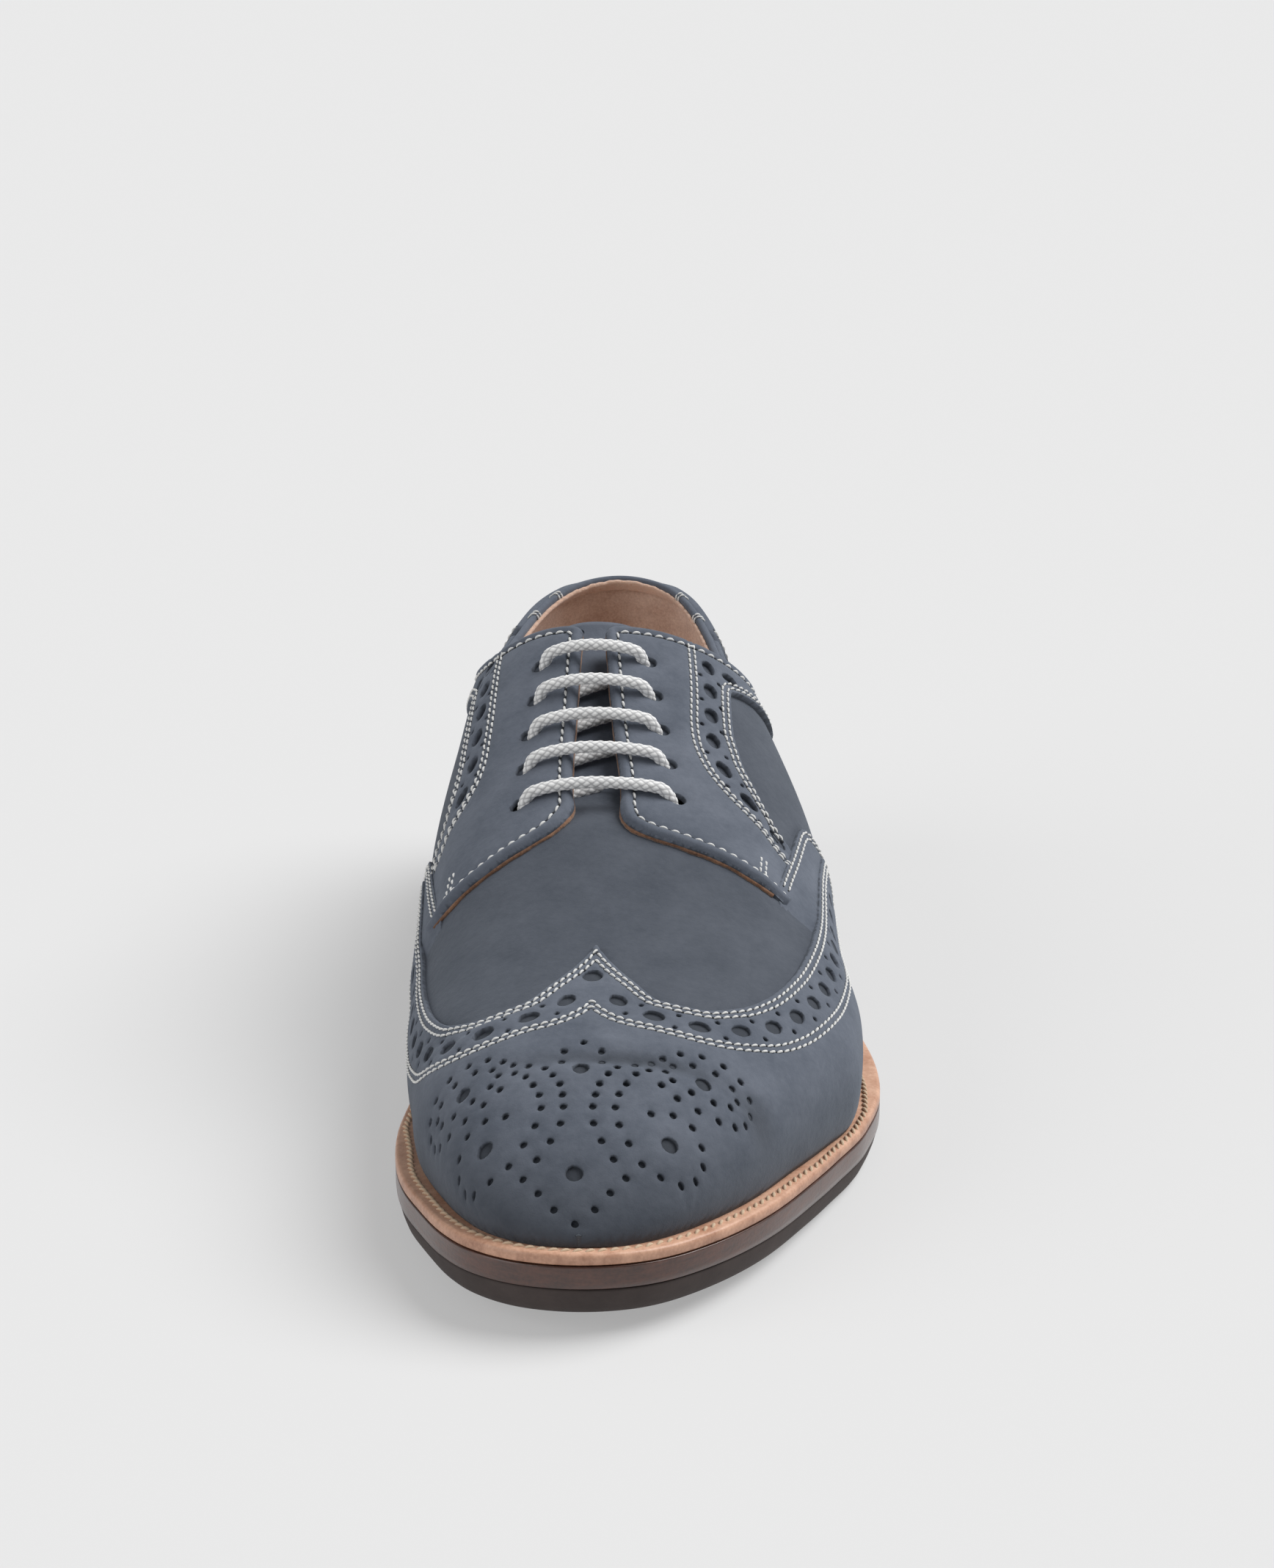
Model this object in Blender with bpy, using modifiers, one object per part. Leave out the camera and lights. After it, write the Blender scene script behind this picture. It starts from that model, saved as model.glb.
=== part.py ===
# Full brogue derby, left shoe, standing empty on its sole.
# Shoe frame: the toe points to -Y, the heel to +Y, the outer side of the foot is +X, the floor is z = 0.
# Tables and sizes are in millimetres; meshes are written in metres.
import math

import bmesh
import bpy
import numpy as np

MM = 0.001
SHARP_ANGLE = math.radians(40)
WELD_DISTANCE = 0.05       # points nearer than this are one point
FLAT_DISTANCE = 0.01       # edges shorter than this are removed

# Driving sizes
SOLE_LENGTH = 310.0        # heel end to toe end of the welt
AXIS_X = 2.474             # x of the middle of the shoe's box, measured from the last's own axis
GAP = 0.3                  # air between two pieces that meet
OUTSOLE_THICK = 6.2
MIDSOLE_THICK = 4.6
WELT_THICK = 2.5
WELT_WIDTH = 13.0          # from the welt's outer edge to its inner edge, under the upper
INSOLE_THICK = 3.0
INSOLE_INSET = 1.8         # from the upper's inner face to the insole's edge
UPPER_WALL = 2.0           # vamp and quarter leather with its lining
OVERLAY_THICK = 1.3        # wing cap, facings and counter
OVERLAY_GAP = 0.85         # under an overlay, so that its flat facets stay clear of the upper
TONGUE_THICK = 2.2
LACE_DIAMETER = 3.0
EYELET_DIAMETER = 4.8
LACE_DIP = 0.4             # how far a bar's ends reach into their eyelets
LACE_CLEAR = 0.7           # air between a bar and the facings
LACE_ARCH = 1.3            # how much more a bar is lifted at its middle
HEEL_BREAST = 86.0         # station of the front face of the heel block
STACK = OUTSOLE_THICK + MIDSOLE_THICK + WELT_THICK + 3 * GAP
BULGE_HEIGHT = 0.45        # share of a sole layer's height where its side is fullest
BULGE_INSET = 0.25         # share of the side's slope that is left there
LEAST_HALF = 0.4           # half width of a sole layer at its very ends
SOLE_SECTIONS = 44         # of the outsole and the midsole
THROAT_TOP = 120.0         # station of the upper end of the facings
THROAT_END = 187.5         # station where the facings part from the vamp
END_ROUND = 12.0           # half width under which the toe and the heel close to a point
RIDGE_REACH = 0.45         # share of the half width that the ridge may lie off the middle
WIDE_GIRTH = 0.25          # share of the girth parameter that lies below the widest line
LOW_GIRTH = (0.0, 0.09, 0.18)  # lines of girth under the widest line
HALF_GIRTH = 80.0          # about the length of one side's girth line, feather to ridge
MEDIAL, LATERAL = -1.0, 1.0
SIDES = {"medial": MEDIAL, "lateral": LATERAL}


def columns(names, *rows):
    """A short table: the named columns, one row for each section."""
    return dict(zip(names.split(), np.array(rows, float).T))


# The last, one row for each section: station from the heel end, x of the widest line on both sides,
# x of the ridge, heights of the widest line and of the ridge, how far the wall turns in under the
# widest line on both sides, and the powers of the section's curve.
LAST = columns(
    "station medial lateral ridge wide top tuck_medial tuck_lateral side_power top_power",
    (4.5, -6.0, -6.0, -6.0, 52.0, 91.0, 4.0, 4.0, 2.2, 2.4),
    (12, -27.4, 15.0, -5.8, 52.0, 91.0, 4.0, 4.0, 2.2, 2.4),
    (34, -37.8, 23.8, -6.2, 52.0, 91.0, 5.0, 5.0, 2.1, 2.4),
    (63, -41.0, 26.4, -8.0, 52.0, 95.0, 6.0, 5.0, 2.15, 2.3),
    (93, -44.4, 31.2, -9.6, 50.0, 106.0, 7.0, 5.0, 2.1, 2.25),
    (120, -47.4, 39.8, -10.0, 45.0, 98.5, 8.0, 5.0, 2.1, 2.08),
    (152, -49.9, 46.8, -9.2, 38.0, 84.5, 8.0, 4.0, 2.1, 2.08),
    (188, -49.8, 48.8, -7.4, 31.0, 70.5, 5.0, 3.0, 2.1, 1.95),
    (211, -49.2, 52.5, -6.8, 27.0, 61.0, 3.5, 3.0, 2.2, 1.97),
    (232, -47.8, 51.4, -6.6, 25.5, 54.5, 3.0, 3.0, 2.3, 2.05),
    (248, -45.5, 44.6, -6.9, 25.0, 51.2, 3.0, 3.0, 2.35, 2.15),
    (264, -43.2, 35.6, -7.4, 24.8, 48.0, 2.5, 2.5, 2.3, 2.15),
    (277.5, -38.4, 28.0, -7.9, 24.6, 43.8, 2.2, 2.2, 2.25, 2.1),
    (289.5, -33.1, 19.4, -8.3, 24.2, 36.8, 2.0, 2.0, 2.2, 2.1),
    (297.7, -27.2, 11.7, -8.5, 23.3, 30.0, 1.5, 1.5, 2.1, 2.0),
    (302.8, -20.0, 4.2, -8.3, 22.2, 25.2, 1.0, 1.0, 2.0, 2.0),
    (305.5, -8.0, -8.0, -8.0, 20.8, 21.8, 0.0, 0.0, 2.0, 2.0),
)

# A line through the middle of the hollow, from the heel to the toe
CORE = columns("station height", (35, 42), (155, 26), (280, 26))

# Outline of the welt and midsole, seen from above
SOLE_PLAN = columns(
    "station medial lateral",
    (0, -6.6, -6.6),
    (4, -22.8, 9.7),
    (14, -33.1, 20.2),
    (35.5, -40.0, 27.2),
    (71, -40.5, 29.5),
    (111.5, -37.5, 34.0),
    (142, -37.5, 42.5),
    (167, -41.5, 51.7),
    (192.5, -45.9, 57.4),
    (213, -48.8, 57.9),
    (231, -50.5, 53.9),
    (249, -50.3, 46.6),
    (265.5, -47.5, 38.9),
    (279.7, -42.4, 31.5),
    (292, -36.9, 23.0),
    (301, -30.4, 14.6),
    (307, -21.9, 5.9),
    (310, -8.0, -8.0),
)

# Underside of the outsole seen from the side: heel seat, arch, flat ball and toe spring
SOLE_LINE = columns(
    "station height",
    (0, 18.3),
    (71, 18.3),
    (93, 16.3),
    (120, 11.3),
    (152, 4.4),
    (175, 1.0),
    (190, 0.0),
    (226, 0.0),
    (254, 1.1),
    (272, 2.1),
    (285, 3.1),
    (294, 3.9),
    (310, 5.4),
)

# Height of the collar's edge on both sides, from the back of the heel to the facings
COLLAR = columns(
    "station medial lateral",
    (4.5, 84.0, 84.0),
    (25, 81.8, 81.3),
    (52, 77.2, 75.6),
    (78, 77.0, 73.2),
    (93, 80.0, 74.5),
    (102, 83.3, 77.0),
    (110, 87.8, 82.3),
    (113, 90.2, 86.2),
    (116, 93.7, 90.6),
    (118, 96.5, 94.2),
    (120, 98.4, 97.6),
)

# Half of the gap between the facings
THROAT = columns("station half_gap", (120, 2.7), (150, 4.2), (178, 5.7), (184, 5.0), (187.5, 0.0))

# The back of the heel leans forward above and below its fullest height
HEEL_CURVE = columns("height lean", (30, 3.0), (42, 0.8), (53, 0.0), (70, 1.6), (88, 6.0), (110, 14.0))
LEAN_END = 80.0            # station where that lean has faded out

# Rear edge of the wing cap: girth measured from the ridge on both sides
WING = columns(
    "girth medial lateral",
    (0, 229.5, 229.5),
    (3, 236.0, 235.5),
    (8.5, 244.0, 243.5),
    (15, 251.0, 250.5),
    (23, 252.5, 251.5),
    (31.5, 248.0, 247.5),
    (38, 238.0, 240.5),
    (45, 218.0, 226.5),
    (51, 192.0, 209.0),
    (57, 164.0, 188.0),
    (62, 156.0, 168.0),
    (68, 153.0, 156.0),
    (110, 153.0, 153.0),
)

# Facing and collar band, front corner to heel: the edge that shows on the vamp, throat and collar
# is the upper edge, the brogued edge on the quarter is the lower edge.
FACING_FRONT = {
    "medial": columns(
        "station height",
        (195.5, 48.8),
        (197.0, 52.0),
        (197.5, 55.8),
        (197.2, 59.6),
        (195.8, 63.6),
        (193.7, 67.0),
        (190.0, 69.8),
    ),
    "lateral": columns(
        "station height",
        (199.0, 54.0),
        (197.5, 58.6),
        (195.5, 62.6),
        (194.3, 65.6),
        (192.6, 67.9),
        (189.5, 69.7),
    ),
}
FACING_REAR = {
    "medial": columns(
        "station height",
        (184.0, 47.6),
        (176.0, 48.4),
        (166.0, 51.0),
        (162.0, 55.0),
        (159.5, 59.4),
        (155.0, 63.8),
        (148.0, 67.7),
        (136.0, 72.6),
        (126.0, 76.1),
    ),
    "lateral": columns(
        "station height",
        (184.0, 50.5),
        (176.0, 56.0),
        (171.5, 62.0),
        (166.0, 67.0),
        (158.5, 72.0),
        (148.0, 77.0),
        (136.0, 81.3),
        (126.0, 84.0),
    ),
}
FACING_FOOT = 184.0        # station where the throat's edge turns out to the front corner

# Height of the collar band's lower edge, heel to facing
BAND_LOW = columns(
    "station medial lateral",
    (46.5, 65.4, 64.1),
    (62.0, 64.4, 62.0),
    (78.0, 64.5, 60.7),
    (87.0, 65.8, 61.2),
    (93.0, 67.5, 62.0),
    (102.0, 71.5, 64.5),
    (108.0, 75.2, 67.8),
    (113.0, 77.6, 71.6),
    (116.5, 78.4, 75.2),
    (120.0, 77.9, 80.2),
)
BAND_BEND = 94.0           # station where the collar's edge levels out
BAND_END = 46.5            # station where the band runs under the counter

# Front edge of the heel counter: station at a height over the floor
COUNTER = columns(
    "height station",
    (33, 96),
    (41, 91),
    (49, 79),
    (56, 63),
    (62, 50),
    (65.5, 44),
    (72, 42),
    (90, 40),
)
COUNTER_LIFT = 1.5         # of the counter's lower edge over the welt
COUNTER_DROP = 0.6         # of its upper edge under the collar's edge
COUNTER_RIM = 30.0         # station where the collar's height gives the counter's own height

# Tongue: half its width, and how far its outer face lies under the upper's outer face
TONGUE = columns(
    "station half_width drop",
    (109, 10, 5.5),
    (114, 13, 7.5),
    (120, 16, 7.5),
    (129, 18, 6.0),
    (170, 20, 5.5),
    (186, 21, 3.4),
    (196, 20, 2.6),
    (203, 19, 2.5),
)

# Eyelets: station and girth from the ridge, top row first
EYELETS = columns("station girth", (131.7, 13.4), (142.9, 14.7), (154.6, 16.1), (166.4, 17.4), (178.4, 18.8))


def smooth(x, xs, ys):
    """Monotone cubic through a table's points: it never swings past a row's value."""
    x = np.clip(np.asarray(x, float), xs[0], xs[-1])
    step = np.diff(xs)
    slope = np.diff(ys) / step
    before, after = slope[:-1], slope[1:]
    weight_1 = 2 * step[1:] + step[:-1]
    weight_2 = step[1:] + 2 * step[:-1]
    same_way = before * after > 0
    safe_before = np.where(same_way, before, 1.0)
    safe_after = np.where(same_way, after, 1.0)
    mean = (weight_1 + weight_2) / (weight_1 / safe_before + weight_2 / safe_after)
    tangent = np.concatenate([slope[:1], np.where(same_way, mean, 0.0), slope[-1:]])
    i = np.clip(np.searchsorted(xs, x) - 1, 0, len(step) - 1)
    t = (x - xs[i]) / step[i]
    start = (1 + 2 * t) * (1 - t) ** 2 * ys[i] + t * (1 - t) ** 2 * step[i] * tangent[i]
    end = t * t * (3 - 2 * t) * ys[i + 1] + t * t * (t - 1) * step[i] * tangent[i + 1]
    return start + end


def value(table, column, at):
    """A column of a table at any place along its first column."""
    first = next(iter(table.values()))
    return smooth(at, first, table[column])


def outline(table, station):
    """Medial and lateral edge; the half width is smoothed as a square, so both ends are round."""
    middle = smooth(station, table["station"], (table["medial"] + table["lateral"]) / 2)
    half = (table["lateral"] - table["medial"]) / 2
    half = np.sqrt(np.maximum(smooth(station, table["station"], half ** 2), 0.0))
    return middle - half, middle + half


def ends_spaced(first, last, count):
    """Places from first to last that crowd towards both ends, for round toes and heels."""
    return first + (last - first) * (1 - np.cos(np.linspace(0.0, math.pi, count))) / 2


def feather(station):
    """Height of the welt's top, where the upper's lower edge stands."""
    return value(SOLE_LINE, "height", station) + STACK


def along(station):
    """y of a station."""
    return SOLE_LENGTH / 2 - station


def heel_lean(station, height):
    """How far forward the heel's back curve carries a point, fading out towards the waist."""
    lean = value(HEEL_CURVE, "lean", height)
    fade = np.clip((LEAN_END - station) / (LEAN_END - LAST["station"][0]), 0.0, 1.0)
    return lean * fade * fade * (3 - 2 * fade)


def last_point(station, side, v, grow=0.0):
    """A point of the last. v runs from 0 at the feather edge through WIDE_GIRTH at the widest line to
    1 at the ridge; above the widest line the section is a quarter of a superellipse, below it a quarter
    of an ellipse. grow makes the whole form that much larger all round."""
    station, v = np.broadcast_arrays(np.asarray(station, float), np.asarray(v, float))
    medial, lateral = outline(LAST, station)
    half = (lateral - medial) / 2
    middle = (lateral + medial) / 2
    off_middle = RIDGE_REACH * half
    ridge = middle + np.clip(value(LAST, "ridge", station) - middle, -off_middle, off_middle)
    wider = grow * np.minimum(half / END_ROUND, 1.0)
    edge = medial - wider if side < 0 else lateral + wider
    tuck = value(LAST, "tuck_medial" if side < 0 else "tuck_lateral", station)
    tuck = np.minimum(tuck, 0.5 * half)
    low = feather(station) + GAP
    wide = value(LAST, "wide", station)
    top = value(LAST, "top", station) + grow
    turn = np.clip((v - WIDE_GIRTH) / (1 - WIDE_GIRTH), 0.0, 1.0) * math.pi / 2
    under = np.clip(1 - v / WIDE_GIRTH, 0.0, 1.0)
    x_above = ridge + (edge - ridge) * np.cos(turn) ** (2 / value(LAST, "side_power", station))
    z_above = wide + (top - wide) * np.sin(turn) ** (2 / value(LAST, "top_power", station))
    x_below = edge - side * tuck * (1 - np.sqrt(1 - under ** 2))
    z_below = wide + (low - wide) * under
    x = np.where(v < WIDE_GIRTH, x_below, x_above)
    z = np.where(v < WIDE_GIRTH, z_below, z_above)
    first, end = LAST["station"][0], LAST["station"][-1]
    half_length = (end - first) / 2
    y = along(station + heel_lean(station, z))
    y = y + grow * (along(station) - along((first + end) / 2)) / half_length
    return np.stack([x - AXIS_X, y, z], -1)


def v_at_height(station, height):
    """The girth parameter where the wall reaches a height."""
    low, wide = feather(station) + GAP, value(LAST, "wide", station)
    top = value(LAST, "top", station)
    share = np.clip((height - wide) / (top - wide), 0.0, 1.0)
    above = np.arcsin(share ** (value(LAST, "top_power", station) / 2)) * 2 / math.pi
    below = np.clip((height - low) / (wide - low), 0.0, 1.0)
    return np.where(height > wide, WIDE_GIRTH + (1 - WIDE_GIRTH) * above, WIDE_GIRTH * below)


def v_at_girth(station, side, girth):
    """The girth parameter at a distance from the ridge, measured along the section."""
    steps = np.linspace(0.0, 1.0, 121)
    result = []
    for one_station, one_girth in zip(np.atleast_1d(station), np.atleast_1d(girth)):
        points = last_point(one_station, side, steps)
        length = np.concatenate([[0.0], np.cumsum(np.linalg.norm(np.diff(points, axis=0), axis=1))])
        result.append(np.interp(length[-1] - one_girth, length, steps))
    return np.array(result)


def open_edge(station, side):
    """The upper's edge at a station: the collar, then the throat, then the closed ridge."""
    column = "medial" if side < 0 else "lateral"
    collar = v_at_height(station, value(COLLAR, column, station))
    medial, lateral = outline(LAST, station)
    reach = np.abs((medial if side < 0 else lateral) - value(LAST, "ridge", station))
    share = np.clip(value(THROAT, "half_gap", station) / np.maximum(reach, 1.0), 0.0, 1.0)
    turn = np.arccos(share ** (value(LAST, "side_power", station) / 2)) * 2 / math.pi
    throat = WIDE_GIRTH + (1 - WIDE_GIRTH) * turn
    edge = np.where(station <= THROAT_TOP, np.minimum(collar, throat), throat)
    edge = np.where(station <= HEEL_BREAST, collar, edge)
    return np.where(station >= THROAT_END, 1.0, edge)


def clear_scene():
    for old in list(bpy.data.objects):
        bpy.data.objects.remove(old, do_unlink=True)


def new_collection(name):
    collection = bpy.data.collections.new(name)
    bpy.context.scene.collection.children.link(collection)
    return collection


def material(name, colour, roughness, metallic=0.0):
    made = bpy.data.materials.new(name)
    made.use_nodes = True
    shader = made.node_tree.nodes["Principled BSDF"]
    shader.inputs["Base Color"].default_value = (*colour, 1.0)
    shader.inputs["Roughness"].default_value = roughness
    shader.inputs["Metallic"].default_value = metallic
    made.diffuse_color = (*colour, 1.0)
    return made


def put_in(mesh_builder, name, collection, finish=None):
    """Turns a bmesh into an object of the collection, with smooth faces and its own material."""
    mesh = bpy.data.meshes.new(name)
    mesh_builder.to_mesh(mesh)
    mesh_builder.free()
    mesh.shade_smooth()
    mesh.set_sharp_from_angle(angle=SHARP_ANGLE)
    made = bpy.data.objects.new(name, mesh)
    collection.objects.link(made)
    if finish:
        made.data.materials.append(finish)
    return made


def add_grid(builder, points, closed=False):
    """Quads over a grid of points (rows, columns, xyz); closed joins the last column to the first."""
    rows, count = points.shape[:2]
    made = [[builder.verts.new(p * MM) for p in row] for row in points]
    width = count if closed else count - 1
    for i in range(rows - 1):
        for j in range(width):
            k = (j + 1) % count
            builder.faces.new((made[i][j], made[i][k], made[i + 1][k], made[i + 1][j]))
    return made


def weld(builder):
    """Joins points that meet, removes what that flattens and turns the faces outwards."""
    bmesh.ops.remove_doubles(builder, verts=builder.verts, dist=WELD_DISTANCE * MM)
    bmesh.ops.dissolve_degenerate(builder, edges=builder.edges, dist=FLAT_DISTANCE * MM)
    bmesh.ops.recalc_face_normals(builder, faces=builder.faces)


def face_out(builder, inside):
    """Turns an open sheet so that its faces point away from a line of inside points at y."""
    away = 0.0
    for face in builder.faces:
        middle = face.calc_center_median()
        away += face.normal.dot(middle - inside(middle)) * face.calc_area()
    if away < 0:
        bmesh.ops.reverse_faces(builder, faces=builder.faces)


def core_line(middle):
    """A point of the line inside the shoe that a place on the upper looks away from."""
    core = middle.copy()
    core.x = (LAST["ridge"][0] - AXIS_X) * MM
    core.y = min(max(middle.y, along(CORE["station"][-1]) * MM), along(CORE["station"][0]) * MM)
    core.z = float(value(CORE, "height", SOLE_LENGTH / 2 - core.y / MM)) * MM
    return core


def shell(name, sheets, thickness, collection, finish):
    """A wall of real thickness: open sheets joined at their edges, thickened inwards."""
    builder = bmesh.new()
    for points in sheets:
        add_grid(builder, points)
    weld(builder)
    face_out(builder, core_line)
    made = put_in(builder, name, collection, finish)
    wall = made.modifiers.new("wall", "SOLIDIFY")
    wall.thickness = thickness * MM
    wall.offset = -1.0
    wall.use_rim = True
    return made


def loft(name, sections, collection, finish):
    """A closed solid through closed sections, with a flat face at each end."""
    builder = bmesh.new()
    rings = add_grid(builder, sections, closed=True)
    for ring in (rings[0], rings[-1]):
        builder.faces.new(ring)
    weld(builder)
    return put_in(builder, name, collection, finish)


def layer(name, stations, inset_top, inset_low, low, high, collection, finish):
    """A sole layer: at each station a section between two heights, inset from the sole's plan at its
    top and at its underside, with the side slightly rounded in between."""
    inset_bulge = inset_top + BULGE_INSET * (inset_low - inset_top)
    side = ((0.0, inset_low), (BULGE_HEIGHT, inset_bulge), (1.0, inset_top))
    span = SOLE_LENGTH / 2
    sections = []
    for station in stations:
        medial, lateral = outline(SOLE_PLAN, station)
        middle, half = (medial + lateral) / 2, (lateral - medial) / 2
        bottom, top = low(station), high(station)
        ring = []
        for share, inset in side:
            ring.append((middle + max(half - inset, LEAST_HALF), bottom + share * (top - bottom), inset))
        ring += [(2 * middle - x, z, inset) for x, z, inset in reversed(ring)]
        section = [(x - AXIS_X, along(station) * (1 - inset / span), z) for x, z, inset in ring]
        sections.append(section)
    return loft(name, np.array(sections), collection, finish)


def plan_loop(table, count, inset):
    """The closed plan outline, inset along its own normal."""
    station = ends_spaced(table["station"][0], table["station"][-1], count)
    medial, lateral = outline(table, station)
    loop = np.stack(
        [np.concatenate([lateral, medial[-2:0:-1]]), np.concatenate([station, station[-2:0:-1]])], -1
    )
    tangent = np.roll(loop, -1, 0) - np.roll(loop, 1, 0)
    normal = np.stack([tangent[:, 1], -tangent[:, 0]], -1)
    normal /= np.linalg.norm(normal, axis=1)[:, None]
    return loop - normal * inset


def make_outsole(parts, finish):
    """Rubber with a side that slopes in towards the floor."""
    end_inset, top_inset, low_inset = 0.8, 0.6, 2.4
    stations = ends_spaced(end_inset, SOLE_LENGTH - end_inset, SOLE_SECTIONS)
    low = lambda s: value(SOLE_LINE, "height", s)
    high = lambda s: value(SOLE_LINE, "height", s) + OUTSOLE_THICK
    layer("outsole", stations, top_inset, low_inset, low, high, parts, finish)


def make_midsole(parts, finish):
    end_inset = 0.3
    stations = ends_spaced(end_inset, SOLE_LENGTH - end_inset, SOLE_SECTIONS)
    low = lambda s: value(SOLE_LINE, "height", s) + OUTSOLE_THICK + GAP
    high = lambda s: value(SOLE_LINE, "height", s) + OUTSOLE_THICK + GAP + MIDSOLE_THICK
    layer("midsole", stations, 0.0, 0.0, low, high, parts, finish)


def make_welt(parts, finish):
    """A ring of leather around the whole sole; the upper and the insole stand on it."""
    sections = 42
    outer = plan_loop(SOLE_PLAN, sections, 0.0)
    inner = plan_loop(SOLE_PLAN, sections, WELT_WIDTH)
    ring = []
    for loop, height in ((outer, 0.0), (outer, WELT_THICK), (inner, WELT_THICK), (inner, 0.0)):
        base = feather(loop[:, 1]) - WELT_THICK
        ring.append(np.stack([loop[:, 0] - AXIS_X, along(loop[:, 1]), base + height], -1))
    builder = bmesh.new()
    points = np.stack(ring, 1)
    add_grid(builder, np.concatenate([points, points[:1]]), closed=True)
    weld(builder)
    put_in(builder, "welt", parts, finish)


def make_heel(parts, finish):
    """A plain block under the heel seat, flat on the floor, with a flat breast."""
    end_inset, top_inset, low_inset = 0.8, 1.6, 2.6
    sections = 18
    stations = ends_spaced(end_inset, 2 * HEEL_BREAST, 2 * sections)[:sections]
    stations = np.append(stations, HEEL_BREAST)
    low = lambda s: 0.0
    high = lambda s: value(SOLE_LINE, "height", s) - GAP
    layer("heel", stations, top_inset, low_inset, low, high, parts, finish)


def make_insole(parts, finish):
    """A board inside the upper, on the welt's inner edge: the feather outline, inset."""
    feather_plan = {
        "station": LAST["station"],
        "medial": LAST["medial"] + LAST["tuck_medial"],
        "lateral": LAST["lateral"] - LAST["tuck_lateral"],
    }
    for edge in ("medial", "lateral"):
        feather_plan[edge][[0, -1]] = LAST[edge][[0, -1]]
    count, toe_left_out = 34, 3
    loop = plan_loop(feather_plan, count, UPPER_WALL + INSOLE_INSET)
    lateral, medial = loop[1:count - toe_left_out], loop[:count + toe_left_out - 2:-1]
    sections = []
    for edge, height in ((medial, 0.0), (lateral, 0.0), (lateral, INSOLE_THICK), (medial, INSOLE_THICK)):
        z = feather((medial[:, 1] + lateral[:, 1]) / 2) + GAP + height
        y = along(edge[:, 1] + heel_lean(edge[:, 1], z))
        sections.append(np.stack([edge[:, 0] - AXIS_X, y, z], -1))
    loft("insole", np.stack(sections, 1), parts, finish)


def upper_stations():
    """Stations of the upper's sections, with one at each end of the throat."""
    heel_count, throat_count, toe_count = 15, 8, 18
    first, end = LAST["station"][0], LAST["station"][-1]
    heel = ends_spaced(first, 2 * THROAT_TOP - first, 2 * heel_count - 1)[:heel_count]
    throat = np.linspace(THROAT_TOP, THROAT_END, throat_count)[1:]
    toe = ends_spaced(2 * THROAT_END - end, end, 2 * toe_count - 1)[toe_count:]
    return np.concatenate([heel, throat, toe])


def make_upper(parts, finish):
    """Vamp and quarters in one hollow wall, open at the collar, down the throat and underneath."""
    lines_above = 10
    share = np.concatenate([LOW_GIRTH, np.linspace(WIDE_GIRTH, 1.0, lines_above)])
    station = upper_stations()
    sheets = []
    for side in (MEDIAL, LATERAL):
        edge = open_edge(station, side)
        above = WIDE_GIRTH + (edge[:, None] - WIDE_GIRTH) * (share - WIDE_GIRTH) / (1 - WIDE_GIRTH)
        v = np.where(share <= WIDE_GIRTH, share + 0 * above, above)
        sheets.append(last_point(station[:, None] + 0 * v, side, v))
    return shell("upper", sheets, UPPER_WALL, parts, finish)


def overlay_point(station, side, v):
    return last_point(station, side, v, OVERLAY_GAP + OVERLAY_THICK)


def make_wing_cap(parts, finish):
    """Toe cap with two wings: from its rear edge on every line of girth forward to the toe."""
    end = LAST["station"][-1]
    even_share, even_count, crowded_count = 0.6, 8, 9
    even = np.linspace(0.0, even_share, even_count)[:-1]
    crowded = even_share + (1 - even_share) * np.sin(np.linspace(0.0, math.pi / 2, crowded_count))
    forward = np.concatenate([even, crowded])
    girth = np.concatenate([np.linspace(0.0, 45.0, 7), np.linspace(51.0, 72.0, 4)])
    lowest = 0.03
    below = np.array([WIDE_GIRTH, *LOW_GIRTH[:0:-1], lowest])
    at_toe = np.linspace(1.0, below[-1], len(girth) + len(below))
    sheets = []
    for column, side in SIDES.items():
        rear = value(WING, column, girth)
        v_rear = np.concatenate([v_at_girth(rear, side, girth), below])
        rear = np.concatenate([rear, np.full(len(below), WING[column][-1])])
        station = rear[:, None] + (end - rear[:, None]) * forward
        v = v_rear[:, None] + (at_toe - v_rear)[:, None] * forward ** 3
        sheets.append(overlay_point(station, side, v))
    return shell("wing_cap", sheets, OVERLAY_THICK, parts, finish)


def resample(points, count):
    """Points spaced evenly along an edge given as (station, v) pairs, measured in millimetres."""
    step = np.diff(points, axis=0) * (1.0, HALF_GIRTH)
    length = np.concatenate([[0.0], np.cumsum(np.hypot(*step.T))])
    at = np.linspace(0.0, length[-1], count)
    return np.stack([np.interp(at, length, points[:, k]) for k in (0, 1)], -1)


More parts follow.
